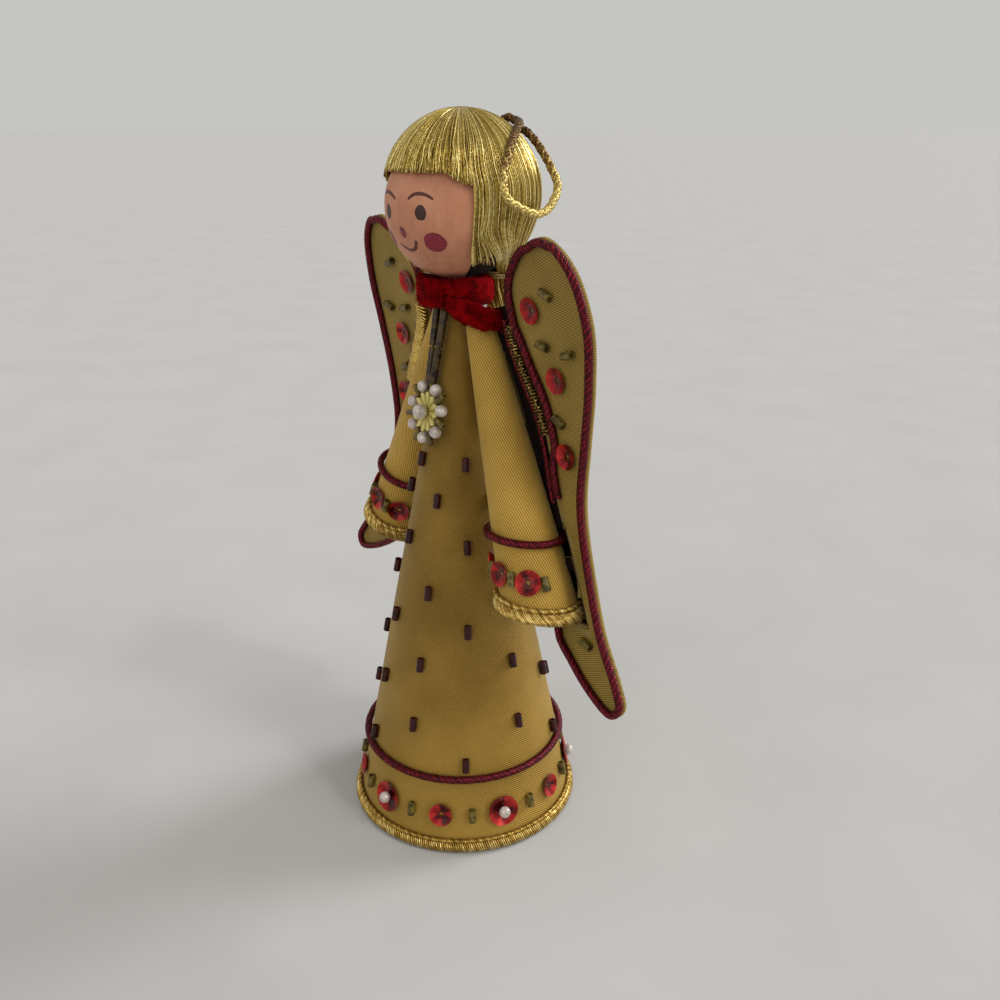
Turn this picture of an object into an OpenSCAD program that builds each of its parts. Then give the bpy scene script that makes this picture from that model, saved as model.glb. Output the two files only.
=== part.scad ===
// Angel ornament: a fabric-covered card cone with a ball head, thread hair, corded wings and hanging sleeves.
// Millimetres. +Z is up, the angel faces -Y, its left hand is at +X. The origin is the centre of the open base.

/* [Body cone] */
// Outer radius of the fabric at the base
cone_r = 29.5; // [26:0.5:34]
// Height at which the cone's sides would meet
cone_apex = 147; // [135:1:160]
// Thickness of the card
card_t = 0.8; // [0.6:0.1:1.2]
// Thickness of the woven gold fabric
fabric_t = 0.4; // [0.3:0.1:0.6]

/* [Head and neck] */
// Radius of the turned wooden ball
head_r = 16; // [14:0.5:18]
// Angle the head is turned to its left
head_turn = 8; // [0:1:15]
// Diameter of the neck peg
peg_d = 2; // [1.6:0.2:3]
// Bare peg between the cone and the ball
neck_len = 6; // [5:0.5:8]
// Length of peg inside the ball
peg_in_head = 10; // [6:1:14]
// Length of peg inside the cone
peg_in_cone = 28; // [20:1:34]

/* [Hair] */
// Radius of the rounded cap of hair
hair_r = 18.2; // [17.8:0.1:19.4]
// How far the cap of hair sits above the ball's centre
hair_rise = 2.8; // [2:0.1:3.5]
// How far the cap of hair sits behind the ball's centre
hair_back = 2.2; // [1.5:0.1:3]
// Height of the fringe's straight edge above the ball's centre
bang_height = 8; // [6:0.5:10]
// How far the side locks stop in front of the ball's centre
lock_front = 7.5; // [5:0.5:9]
// How far the side locks hang below the ball's centre
lock_drop = 10; // [8:0.5:12]
// Thickness of the locks beside the face
lock_t = 0.8; // [0.6:0.1:1.2]
// Radius of the hair where it hangs behind the head
fall_r = 14; // [12:0.5:15]
// How far that widest part of the fall sits behind the ball's centre
fall_back = 6.5; // [5:0.5:8]
// How far it sits below the ball's centre
fall_drop = 6.8; // [5:0.2:8]
// Radius of the gathered tail at its tie
tail_r = 3.2; // [2.5:0.1:3.6]
// Length of the tail below its tie
tail_len = 16; // [10:1:20]
// Diameter of the thread that ties the tail
tie_d = 0.7; // [0.5:0.1:1]

/* [Scarf] */
// Outer radius of the felt wrap
scarf_r = 9.2; // [8:0.1:10]
// Height of the felt wrap
scarf_h = 6.8; // [6:0.1:7.5]
// Thickness of the loose end
scarf_tail_t = 1.4; // [1:0.1:1.8]
// Height of the loose end
scarf_tail_h = 4.4; // [3:0.1:5]

/* [Cords] */
// Diameter of the red cord round the skirt
skirt_cord_d = 2; // [1.5:0.1:2.5]
// Height of the red cord above the base
skirt_cord_z = 20; // [17:0.5:24]
// Diameter of the gold cord at the hem
hem_cord_d = 2.2; // [1.6:0.1:2.6]
// Height of the hem cord above the base
hem_cord_z = 2.7; // [2.4:0.1:3.2]
// Diameter of the red cords on the wings and sleeves
edge_cord_d = 1.9; // [1.4:0.1:2.2]
// Diameter of the gold braid beside each wing's root
braid_d = 2.4; // [1.8:0.1:2.6]
// Diameter of the hanging cord
loop_d = 1.9; // [1.5:0.1:2.2]

/* [Sleeves] */
// Length of the left sleeve from its shoulder stitch to its cuff
left_sleeve_len = 66.4; // [60:0.1:69]
// Length of the right sleeve
right_sleeve_len = 64.8; // [60:0.1:69]
// Radius of a sleeve at the shoulder
sleeve_tip_r = 3.5; // [3:0.1:3.8]
// Angle at which a sleeve widens to its cuff
sleeve_slant = 4.8; // [3.5:0.1:5.2]
// Angle a sleeve spreads from the upright
sleeve_spread = 22; // [19:0.5:24]
// Angle a sleeve's cuff comes forward
sleeve_forward = 1; // [0:0.5:4]
// Angle the left cuff dips towards the back
left_cuff_dip = 6.5; // [0:0.5:10]
// Angle the left cuff rises towards the outside
left_cuff_rise = 0; // [0:1:22]
// Angle the right cuff dips towards the back
right_cuff_dip = 1; // [0:0.5:10]
// Angle the right cuff rises towards the outside
right_cuff_rise = 22; // [0:1:24]
// Distance of the red cord above the cuff
sleeve_cord_up = 16.6; // [12:0.1:18]
// Distance of the sequin row above the cuff
sleeve_row_up = 7.9; // [6:0.1:9]
// Diameter of the stitching thread through both shoulders
thread_d = 1; // [0.8:0.1:1.2]

/* [Wings] */
// Thickness of the wings' card
wing_card_t = 0.5; // [0.4:0.1:0.8]
// Thickness of the fabric on the wings
wing_cloth_t = 0.2; // [0.15:0.05:0.3]
// Radius to which each wing is bowed
wing_bow_r = 220; // [180:5:300]
// Drop from the cone's top to the deepest part of the bow
wing_bow_drop = 39; // [34:1:44]
// Distance from the cone's axis back to the front of the wings, at their deepest
wing_set = 6.2; // [5.8:0.1:7]
// Drop from the cone's top to the lower edge of the bridge
bridge_drop = 26; // [24:0.5:28]
// Height of the bridge behind the sleeves
bridge_h = 16; // [12:1:18]
// Thickness of the bridge
bridge_t = 1.6; // [1.2:0.1:2]
// Half the width of the bridge
bridge_reach = 28; // [26:0.5:30]

/* [Beads and sequins] */
// Diameter of the large sequins at the hem
sequin_large_d = 8; // [7:0.5:9]
// Diameter of the small sequins
sequin_small_d = 6; // [5:0.5:6.5]
// Depth of a sequin's cup
sequin_cup = 0.8; // [0.5:0.1:1]
// Diameter of the pearls
pearl_d = 3; // [2.5:0.1:3.2]
// Diameter of the pendant's middle pearl
centre_pearl_d = 3.6; // [3.2:0.1:4.2]
// Diameter of a bugle bead
bugle_d = 1.8; // [1.4:0.1:2]
// Length of a bugle bead
bugle_len = 3.4; // [2.6:0.1:3.8]
// Height of the row of sequins at the hem
hem_row_z = 10; // [8:0.5:12]

/* [Pendant] */
// Length of the beaded strands
strand_len = 17.2; // [14:0.1:20]
// Diameter of the long beads on the strands
strand_d = 1.8; // [1.4:0.1:2]
// Radius of the flower
flower_r = 4.8; // [4:0.1:5.5]
// Count of pearls round the flower
pearl_count = 7; // [5:1:7]

/* [Hidden] */
$fn = 64;

// Gap between glued pieces, and between pieces that move past each other
glue = 0.03;
run = 0.05;
clear = 0.4;
// Small overshoot for clean cuts
eps = 0.5;

// Colours
gold_cloth = "#b8933f";
red_cord_colour = "#6e1220";
gold_cord_colour = "#a98232";
card_colour = "#c9b48a";
dark_bead = "#4a1116";
bronze_bead = "#5a4a20";
sequin_red = "#c5302f";
pearl_white = "#efe9e2";
felt_red = "#7c0c14";
hair_gold = "#cdb457";
skin = "#c08f78";

// Cone: radius at a height, slant of its side, and the flat top that the peg passes through
function cone_at(z) = cone_r * (1 - z / cone_apex);
slant = atan(cone_r / cone_apex);
peg_r = peg_d / 2;
cone_top = cone_apex * (1 - (peg_r + run + card_t + fabric_t) / cone_r);
fabric_foot = 0.2;

// Neck and head
head_z = cone_top + neck_len + head_r;
peg_bottom = cone_top - peg_in_cone;
peg_top = head_z - head_r + peg_in_head;
scarf_z = cone_top + 0.2;

// Hair
hair_z = head_z + hair_rise;
lock_z = head_z - lock_drop;
tail_y = scarf_r + tail_r + 0.3;
tail_z = head_z - head_r + 2.2;

// Shoulders: the thread passes just behind the peg and both sleeves hang on it
thread_r = thread_d / 2;
shoulder_z = scarf_z - sleeve_tip_r - clear;
shoulder_y = peg_r + thread_r + 0.1;
shoulder_gap = 0.8;
shoulder_x = cone_at(shoulder_z) + sleeve_tip_r + shoulder_gap;
knot_r = 0.7;
// Knots stay clear of the sleeves' slanting outer sides
sleeve_side = sleeve_tip_r / (cos(sleeve_spread) - tan(sleeve_slant) * sin(sleeve_spread));
knot_x = shoulder_x + sleeve_side + (knot_r + clear) / cos(sleeve_spread + sleeve_slant);
function sleeve_at(t) = sleeve_tip_r + t * tan(sleeve_slant);
function sleeve_len(side) = side > 0 ? left_sleeve_len : right_sleeve_len;
function cuff_dip(side) = side > 0 ? left_cuff_dip : right_cuff_dip;
function cuff_rise(side) = side > 0 ? left_cuff_rise : right_cuff_rise;
sleeve_solid = 9;
cuff_cord_up = 1.2;
cuff_fringe_drop = 2;
// Directions along a sleeve, across it and to its back, and the square to its level cuff
function sleeve_way(side) = [
    side * sin(sleeve_spread) * cos(sleeve_forward), -sin(sleeve_forward), -cos(sleeve_spread) * cos(sleeve_forward)
];
function sleeve_across(side) = [cos(sleeve_spread), 0, side * sin(sleeve_spread)];
function sleeve_rear(side) = cross(sleeve_across(side), sleeve_way(side));
function cuff_up(side) = [
    -side * sin(cuff_rise(side)) * cos(cuff_dip(side)), sin(cuff_dip(side)), cos(cuff_rise(side)) * cos(cuff_dip(side))
];
// How far the cuff's cord sinks below its level line on the side where the sleeve overhangs
function cuff_sink(side) = hem_cord_d / 2 * max(
    0,
    cos(sleeve_slant) * norm(cross(cuff_up(side), sleeve_way(side)))
        + sin(sleeve_slant) * (cuff_up(side) * sleeve_way(side))
);
function sleeve_start(side) = [side * shoulder_x, shoulder_y, shoulder_z];
// Distance down the sleeve, at an angle round it, of a level line that crosses the sleeve's axis above the cuff
function level_at(side, up, angle) =
    let (
        radial = cos(angle) * sleeve_across(side) + sin(angle) * sleeve_rear(side),
        fall = cuff_up(side) * sleeve_way(side),
        lean = cuff_up(side) * radial
    )
    ((sleeve_len(side) - up) * fall - sleeve_tip_r * lean) / (fall + tan(sleeve_slant) * lean);
function on_level(side, up, angle, lift) =
    let (
        t = level_at(side, up, angle),
        radial = cos(angle) * sleeve_across(side) + sin(angle) * sleeve_rear(side),
        out = cos(sleeve_slant) * radial - sin(sleeve_slant) * sleeve_way(side)
    )
    sleeve_start(side) + t * sleeve_way(side) + sleeve_at(t) * radial + lift * out;
sleeve_row_angle = 23.5;
sleeve_sequin_angles = sleeve_row_angle * [-2, 0, 2];
sleeve_bugle_angles = sleeve_row_angle * [-3, -1, 1, 3];

// Wings: card with fabric on both faces, bowed about a level axis in front of it
wing_t = wing_card_t + 2 * wing_cloth_t;
wing_bow_z = cone_top - wing_bow_drop;

// Left wing's outline: distance out, height above the cone's top, and inset of the edge cord
wing_outline = [
    [17, 0, 2.5], [19, 7, 1.2], [25, 13.8, 0.7], [34, 17.8, 0.5], [41.8, 12.4, 0.9], [45.1, 1, 1.2], [44, -12, 1.2],
    [41.8, -26, 1.2], [40.7, -39, 1.2], [43.4, -51, 1.2], [50, -66, 1.2], [57.6, -75.8, 1.2], [60.4, -80.6, 1.2],
    [57.4, -83.6, 1.2], [50, -81.4, 1.2], [43, -77.6, 1.2], [36.5, -72.5, 1.2], [40, -66, 1.2], [40.6, -59, 1.2],
    [34.5, -48, 1.2], [30.4, -39, 2], [28, -29, 3.6], [24.6, -20.5, 4.6], [20.2, -13, 4.6], [17, -5.5, 4.2]
];
wing_steps = 4;
// The root runs in behind the sleeve, from under the shoulder to above the cuff
root_steps = 9;
root_first_share = 0.09;
root_last_share = 0.9;
root_in = 2;
root_lap = 0.6;
root_first_index = 24.75;
root_last_index = 18.3;
// The edge cord starts behind the sleeve, goes round the wing and ends under the cuff
cord_first_index = 21;
cord_last_index = 41;
braid_inset = 1.5;
braid_first_index = 21.3;
braid_last_index = 24.6;
wing_sequin_places = [[26, 2], [32.6, -12.5], [35, -29.5]];
wing_bead_places = [[32.6, 6.4], [29.3, -5.2], [37.6, -5.8], [33, -21.8]];
wing_bead_tilts = [20, 10, -15, 25, 10];
// The lowest bead lies beyond the cuff, on the line to the wing's tip
low_bead = [46.5, -71];
low_bead_slope = 0.87;
function cuff_reach(side) =
    shoulder_x + sleeve_len(side) * sin(sleeve_spread) + sleeve_at(sleeve_len(side)) + hem_cord_d;
function low_bead_place(side) =
    let (x = max(low_bead[0], cuff_reach(side) + clear + bugle_len / 2))
    [x, low_bead[1] - low_bead_slope * (x - low_bead[0])];

sequin_t = 0.25;

// Bugle beads in columns down the skirt, staggered; one place on the front is bare
bead_columns = [-4 : 5];
bead_first_angle = -8;
bead_step_angle = 34.5;
bead_lean = 0.1;
bead_rows = [[99, 79, 58, 40.5, 23.5], [90, 67, 48.5, 32.5]];
bead_lean_z = 60;
bare_index = [2, 3];
// Hem: large and small sequins take turns from the seam at the back
hem_first_angle = 10.4;
hem_step_angle = 33.3;
hem_pairs = [-2 : 2];
hem_large = [-2 : 3];
hem_gaps = [-4 : 5];

// Pendant: hinge under the scarf, in front of the cord round the neck
necklace_r = 0.35;
necklace_z = cone_top - 1.4;
necklace_ring_r = cone_at(necklace_z) + necklace_r / cos(slant) + glue;
strand_r = strand_d / 2;
pendant_y = necklace_ring_r + necklace_r + strand_r + 0.3;
pendant_z = scarf_z - strand_r - clear;
strand_spread = [1.8, 0.9];
strand_thread_r = 0.3;
flower_drop = strand_len + 2.2 + flower_r;
flower_t = 0.9;
flower_flutes = 16;
pearl_ring_r = flower_r + pearl_d / 2 + glue;
pearl_start = 24.5;

// Route of the hanging cord from one root in the hair, down beside the head and back to the other root
loop_route = [
    [0.5, 11, 174.5], [2.5, 12.5, 176.5], [5, 13, 176], [8, 12, 175.5], [11.5, 9, 174.5], [17.5, 2.5, 170.5],
    [20, -1, 164.5], [21, -1, 161], [20.5, 2, 159], [19.5, 8, 157], [18.5, 12.5, 158], [17, 16, 162],
    [14, 16.5, 166], [9.5, 16, 171], [5.5, 15, 174], [2.5, 13, 173.5]
];
loop_steps = 3;
loop_facing = [0.76, -0.54, 0.36];

// Curves: a smooth curve through points, and a tube swept along a path
function blend(a, b, c, d, t) =
    0.5 * (2 * b + (c - a) * t + (2 * a - 5 * b + 4 * c - d) * t ^ 2 + (3 * b - a - 3 * c + d) * t ^ 3);
function ring_point(pts, u) =
    let (n = len(pts), i = floor(u))
    blend(pts[(i - 1 + n) % n], pts[i % n], pts[(i + 1) % n], pts[(i + 2) % n], u - i);
function open_point(pts, u) =
    let (n = len(pts), i = min(floor(u), n - 2))
    blend(pts[max(i - 1, 0)], pts[i], pts[i + 1], pts[min(i + 2, n - 1)], u - i);
function unit(v) = v / norm(v);
function path_way(path, i, closed) =
    let (n = len(path))
    closed ? unit(path[(i + 1) % n] - path[(i - 1 + n) % n]) : unit(path[min(i + 1, n - 1)] - path[max(i - 1, 0)]);
function path_side(way, facing) = unit(facing - (facing * way) * way);

module tube(path, r, facing, sides = 8, closed = false) {
    n = len(path);
    rings = [
        for (i = [0 : n - 1])
            let (way = path_way(path, i, closed), a = path_side(way, facing), b = cross(way, a))
            for (k = [0 : sides - 1]) path[i] + r * (cos(360 * k / sides) * a + sin(360 * k / sides) * b)
    ];
    walls = [
        for (i = [0 : closed ? n - 1 : n - 2], k = [0 : sides - 1])
            let (p = i * sides, q = (i + 1) % n * sides, next = (k + 1) % sides)
            each [[q + k, p + next, p + k], [q + k, q + next, p + next]]
    ];
    first = [for (k = [0 : sides - 1]) k];
    last = [for (k = [sides - 1 : -1 : 0]) (n - 1) * sides + k];
    polyhedron(points = rings, faces = closed ? walls : concat(walls, [first, last]));
}

// Small trims
module torus(ring_r, cord_r) {
    rotate_extrude() translate([ring_r, 0]) circle(cord_r, $fn = 32);
}

module sequin(d) {
    hole_r = 0.5;
    flat_r = d / 4;
    rotate_extrude() polygon([
        [hole_r, 0], [flat_r, 0], [d / 2, sequin_cup], [d / 2, sequin_cup + sequin_t], [flat_r, sequin_t],
        [hole_r, sequin_t]
    ]);
}

module bugle(d = bugle_d, len = bugle_len) {
    difference() {
        cylinder(d = d, h = len, center = true, $fn = 24);
        cylinder(d = d * 0.45, h = len + eps, center = true, $fn = 24);
    }
}

// Places on the cone: local X points out of the cloth and local Z runs up the slant
module on_cone(angle, z, lift = 0) {
    rotate([0, 0, angle - 90])
        translate([cone_at(z), 0, z])
            rotate([0, -slant, 0])
                translate([lift, 0, 0]) children();
}

// Body
module cone_solid(inset, from) {
    translate([0, 0, from])
        cylinder(r1 = cone_at(from) - inset, r2 = cone_at(cone_top) - inset, h = cone_top - from);
}

module shoulder_bore(r) {
    translate([0, shoulder_y, shoulder_z]) rotate([0, 90, 0]) cylinder(r = r, h = 4 * scarf_r, center = true);
}

module body_card_cone() {
    color(card_colour) difference() {
        cone_solid(fabric_t + glue, 0);
        translate([0, 0, -eps]) cylinder(
            r1 = cone_at(-eps) - fabric_t - card_t,
            r2 = cone_at(cone_top + eps) - fabric_t - card_t,
            h = cone_top + 2 * eps
        );
        shoulder_bore(thread_r + run);
    }
}

module body_fabric_cover() {
    color(gold_cloth) difference() {
        cone_solid(0, fabric_foot);
        translate([0, 0, -eps])
            cylinder(r1 = cone_at(-eps) - fabric_t, r2 = cone_at(cone_top + eps) - fabric_t, h = cone_top + 2 * eps);
        shoulder_bore(thread_r + run);
    }
}

module skirt_cord() {
    r = skirt_cord_d / 2;
    color(red_cord_colour) translate([0, 0, skirt_cord_z]) torus(cone_at(skirt_cord_z) + r / cos(slant) + glue, r);
}

module hem_cord_ring(extra = 0) {
    r = hem_cord_d / 2;
    translate([0, 0, hem_cord_z]) torus(cone_at(hem_cord_z) + r / cos(slant) + glue, r + extra);
}

module hem_cord() {
    color(gold_cord_colour) hem_cord_ring();
}

module hem_fringe() {
    foot = 0.3;
    flare = 1.6;
    color(gold_cord_colour) difference() {
        translate([0, 0, foot]) cylinder(r = cone_at(foot) + flare, h = hem_cord_z - foot);
        translate([0, 0, -eps]) cylinder(
            r1 = cone_at(-eps) + glue,
            r2 = cone_at(hem_cord_z + eps) + glue,
            h = hem_cord_z + 2 * eps
        );
        hem_cord_ring(glue);
    }
}

module skirt_bugle_beads() {
    color(dark_bead)
        for (column = bead_columns)
            let (rows = bead_rows[abs(column) % 2])
            for (row = [0 : len(rows) - 1])
                if ([column, row] != bare_index)
                    on_cone(
                        bead_first_angle + bead_step_angle * column + bead_lean * (rows[row] - bead_lean_z),
                        rows[row],
                        bugle_d / 2 + glue
                    ) bugle();
}

module on_hem(place) {
    on_cone(hem_first_angle + hem_step_angle * place, hem_row_z, glue) children();
}

module hem_sequins_large() {
    color(sequin_red) for (i = hem_large) on_hem(2 * i) rotate([0, 90, 0]) sequin(sequin_large_d);
}

module hem_sequins_small() {
    color(sequin_red) for (i = hem_pairs) on_hem(2 * i + 1) rotate([0, 90, 0]) sequin(sequin_small_d);
}

// A pearl rests in the flat of its sequin's cup
module hem_pearls() {
    color(pearl_white) for (i = hem_large) on_hem(2 * i)
        translate([pearl_d / 2 + sequin_t + glue, 0, 0]) sphere(d = pearl_d);
}

module hem_bugle_beads() {
    color(bronze_bead) for (i = hem_gaps) on_hem(i + 0.5) translate([bugle_d / 2, 0, 0]) bugle();
}

// Head and neck
module neck_peg() {
    color("tan") translate([0, 0, peg_bottom]) cylinder(r = peg_r, h = peg_top - peg_bottom);
}

module head_ball() {
    color(skin) difference() {
        translate([0, 0, head_z]) sphere(head_r, $fn = 96);
        translate([0, 0, head_z - head_r - eps]) cylinder(r = peg_r + run, h = peg_in_head + eps);
    }
}

// Hair turns with the head; its face opening is cut square under the fringe and in front of the side locks
module hair_mass() {
    translate([0, hair_back, hair_z]) sphere(hair_r, $fn = 96);
    translate([0, 0, head_z]) sphere(head_r + lock_t, $fn = 96);
}

module hair_cap() {
    reach = 2 * hair_r;
    color(hair_gold) rotate([0, 0, head_turn]) difference() {
        union() {
            difference() {
                hair_mass();
                translate([-reach, -reach, lock_z - reach]) cube([2 * reach, 2 * reach, reach]);
            }
            hair_fall();
        }
        translate([-reach, -reach - lock_front, head_z - reach]) cube([2 * reach, reach, reach + bang_height]);
        translate([-reach, -reach, tail_z - reach]) cube([2 * reach, 2 * reach, reach]);
        translate([0, 0, head_z]) sphere(head_r + glue, $fn = 96);
        translate([0, 0, scarf_z - eps]) cylinder(r = scarf_r + glue, h = scarf_h + 2 * eps);
    }
}

// Hair at the back hangs behind the head and then draws in to the tie
module hair_fall() {
    tie = [0, tail_y, tail_z];
    wide = [0, fall_back, head_z - fall_drop];
    way = wide - tie;
    translate(tie) rotate([-atan2(way[1], way[2]), 0, 0]) cylinder(r1 = tail_r, r2 = fall_r, h = norm(way));
    translate(wide) cylinder(r1 = fall_r, r2 = fall_r - 1, h = fall_drop + hair_rise);
}

module hair_tail() {
    end_r = 0.65 * tail_r;
    color(hair_gold) rotate([0, 0, head_turn])
        translate([0, tail_y, tail_z - tail_len]) cylinder(r1 = end_r, r2 = tail_r, h = tail_len - glue);
}

module hair_tie() {
    color("#d8c98a") rotate([0, 0, head_turn])
        translate([0, tail_y, tail_z - tie_d]) torus(tail_r + tie_d / 2 + glue, tie_d / 2);
}

// Scarf
module scarf_wrap() {
    round_r = scarf_h / 2;
    color(felt_red) difference() {
        translate([0, 0, scarf_z]) rotate_extrude() difference() {
            union() {
                square([scarf_r - round_r, scarf_h]);
                translate([scarf_r - round_r, round_r]) circle(round_r);
            }
            square([peg_r + run, scarf_h]);
        }
        translate([0, 0, head_z]) sphere(head_r + glue, $fn = 96);
    }
}

// The loose end lies round the left shoulder, clear of the sleeve
module scarf_tail() {
    inner = sleeve_tip_r + 1.7;
    color(felt_red) difference() {
        translate([shoulder_x, shoulder_y, scarf_z - scarf_tail_h]) rotate([0, 0, 225])
            rotate_extrude(angle = 165) translate([inner, 0]) square([scarf_tail_t, scarf_tail_h]);
        shoulder_knots(knot_r + glue);
    }
}

module shoulder_knots(r) {
    for (side = [-1, 1]) translate([side * knot_x, shoulder_y, shoulder_z]) sphere(r);
}

// Stitching thread through the cone and both shoulders, knotted at its ends
module shoulder_thread() {
    color("#d8c98a") {
        translate([0, shoulder_y, shoulder_z]) rotate([0, 90, 0])
            cylinder(r = thread_r, h = 2 * knot_x, center = true);
        shoulder_knots(knot_r);
    }
}

module necklace_cord() {
    color("#3b352c") translate([0, 0, necklace_z]) torus(necklace_ring_r, necklace_r);
}

// Sleeves: local -Z runs from the shoulder stitch to the cuff
module sleeve_place(side) {
    translate(sleeve_start(side)) rotate([-sleeve_forward, -side * sleeve_spread, 0]) children();
}

// Everything below a level line at a distance above the cuff
module below_level(side, up) {
    size = 2 * sleeve_len(side);
    translate(sleeve_start(side) + (sleeve_len(side) - up) * sleeve_way(side))
        rotate([-cuff_dip(side), -side * cuff_rise(side), 0])
            translate([-size / 2, -size / 2, -size]) cube(size);
}

// The rounded and tapered form, run on past the cuff so that the level cut closes it
module sleeve_form(side, inset) {
    whole = sleeve_len(side) + 2 * sleeve_tip_r;
    sleeve_place(side) {
        sphere(sleeve_tip_r - inset);
        translate([0, 0, -whole]) cylinder(r1 = sleeve_at(whole) - inset, r2 = sleeve_tip_r - inset, h = whole);
    }
}

module sleeve_card(side) {
    inner = fabric_t + card_t;
    whole = sleeve_len(side) + 3 * sleeve_tip_r;
    color(card_colour) difference() {
        sleeve_form(side, fabric_t + glue);
        sleeve_place(side) translate([0, 0, -whole]) cylinder(
            r1 = sleeve_at(whole) - inner,
            r2 = sleeve_at(sleeve_solid) - inner,
            h = whole - sleeve_solid
        );
        below_level(side, 0);
        shoulder_bore(thread_r + run);
    }
}

module sleeve_fabric(side) {
    color(gold_cloth) difference() {
        sleeve_form(side, 0);
        sleeve_form(side, fabric_t);
        below_level(side, 0);
        shoulder_bore(thread_r + run);
    }
}

module sleeve_ring(side, up, d) {
    count = 40;
    path = [for (i = [0 : count - 1]) on_level(side, up, i * 360 / count, d / 2 + glue)];
    tube(path, d / 2, cuff_up(side), closed = true);
}

module sleeve_cord(side) {
    color(red_cord_colour) sleeve_ring(side, sleeve_cord_up, edge_cord_d);
}

module sleeve_cuff_cord(side) {
    color(gold_cord_colour) sleeve_ring(side, cuff_cord_up, hem_cord_d);
}

// Thread ends that stand out under the cuff's cord
module sleeve_cuff_fringe(side) {
    flare = 1.5;
    color(gold_cord_colour) difference() {
        intersection() {
            sleeve_form(side, -flare);
            below_level(side, cuff_cord_up - hem_cord_d / 2 - cuff_sink(side) - 2 * glue);
        }
        below_level(side, -cuff_fringe_drop);
        sleeve_form(side, -glue);
    }
}

// Angles go round the sleeve from its front towards its outer side
module on_sleeve(side, angle, up, lift) {
    turn = side * angle - 90;
    t = level_at(side, up, turn);
    sleeve_place(side) rotate([0, 0, turn]) translate([sleeve_at(t), 0, -t])
        rotate([0, -sleeve_slant, 0]) translate([lift, 0, 0]) children();
}

module sleeve_sequins(side) {
    color(sequin_red)
        for (angle = sleeve_sequin_angles)
            on_sleeve(side, angle, sleeve_row_up, glue) rotate([0, 90, 0]) sequin(sequin_small_d);
}

module sleeve_bugle_beads(side) {
    color(bronze_bead)
        for (angle = sleeve_bugle_angles)
            on_sleeve(side, angle, sleeve_row_up, bugle_d / 2 + glue) bugle();
}

// Wings: shells cut from a drum that lies level in front of the angel, trimmed to the outline
module bow_shell(front, back) {
    drum_len = 4 * cone_r;
    translate([0, wing_set - wing_bow_r, wing_bow_z]) rotate([0, 90, 0]) difference() {
        cylinder(r = wing_bow_r + back, h = drum_len, center = true, $fn = 180);
        cylinder(r = wing_bow_r + front, h = drum_len + eps, center = true, $fn = 180);
    }
}

function wing_curve() = [
    for (i = [0 : len(wing_outline) * wing_steps - 1])
        let (p = ring_point(wing_outline, i / wing_steps)) [p[0], p[1]]
];

// The strip between the wing's outline and the line that the sleeve hangs along
function wing_root(side) = concat(
    [
        for (i = [0 : root_steps])
            let (
                share = root_first_share + (root_last_share - root_first_share) * i / root_steps,
                p = sleeve_start(side) + share * sleeve_len(side) * sleeve_way(side)
            )
            [side * p[0] + root_in, p[2] - cone_top]
    ],
    [
        for (i = [root_steps : -1 : 0])
            let (p = ring_point(wing_outline, root_first_index + (root_last_index - root_first_index) * i / root_steps))
            [p[0] + root_lap, p[1]]
    ]
);

// Room that a sleeve and its cords need beside the wing
module sleeve_room(side) {
    sleeve_form(side, -clear);
    for (up = [sleeve_cord_up, cuff_cord_up])
        intersection() {
            sleeve_form(side, -hem_cord_d - clear);
            difference() {
                below_level(side, up + hem_cord_d);
                below_level(side, up - hem_cord_d - cuff_fringe_drop);
            }
        }
}

module wing_layer(side, front, back) {
    depth = 4 * wing_t;
    difference() {
        intersection() {
            bow_shell(front, back);
            mirror([side < 0 ? 1 : 0, 0, 0])
                translate([0, wing_set + 4 * wing_t, cone_top]) rotate([90, 0, 0])
                    linear_extrude(height = 8 * depth) {
                        polygon(wing_curve());
                        polygon(wing_root(side));
                    }
        }
        sleeve_room(side);
    }
}

module wing_card(side) {
    color(card_colour) wing_layer(side, wing_cloth_t + glue, wing_cloth_t + wing_card_t - glue);
}

module wing_front_fabric(side) {
    color(gold_cloth) wing_layer(side, 0, wing_cloth_t);
}

module wing_back_fabric(side) {
    color(gold_cloth) wing_layer(side, wing_cloth_t + wing_card_t, wing_t);
}

// A point on the wing's front, lifted towards the viewer
function on_bow(x, rise, lift) =
    let (sway = asin((cone_top + rise - wing_bow_z) / wing_bow_r), reach = wing_bow_r - lift)
    [x, wing_set - wing_bow_r + reach * cos(sway), wing_bow_z + reach * sin(sway)];

// A point beside the outline, at an inset, for a cord that lies on the front
function beside_edge(u, inset, lift) =
    let (
        p = ring_point(wing_outline, u),
        q = ring_point(wing_outline, u + 0.02),
        way = unit([q[0] - p[0], q[1] - p[1]])
    )
    on_bow(p[0] + inset * way[1], p[1] - inset * way[0], lift);

module edge_tube(side, first, last, r, steps, inset) {
    path = [
        for (i = [0 : round((last - first) * steps)])
            let (u = first + i / steps)
            beside_edge(u, is_undef(inset) ? ring_point(wing_outline, u)[2] : inset, r + glue)
    ];
    mirror([side < 0 ? 1 : 0, 0, 0]) tube(path, r, [0, -1, 0]);
}

module wing_edge_cord(side) {
    color(red_cord_colour) edge_tube(side, cord_first_index, cord_last_index, edge_cord_d / 2, 3);
}

module wing_gold_braid(side) {
    color(gold_cord_colour) edge_tube(side, braid_first_index, braid_last_index, braid_d / 2, 4, braid_inset);
}

module on_wing(side, place, lift) {
    sway = asin((cone_top + place[1] - wing_bow_z) / wing_bow_r);
    mirror([side < 0 ? 1 : 0, 0, 0]) translate(on_bow(place[0], place[1], lift)) rotate([sway, 0, 0]) children();
}

module wing_sequins(side) {
    color(sequin_red)
        for (place = wing_sequin_places)
            on_wing(side, place, 2 * glue) rotate([90, 0, 0]) sequin(sequin_small_d);
}

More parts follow.
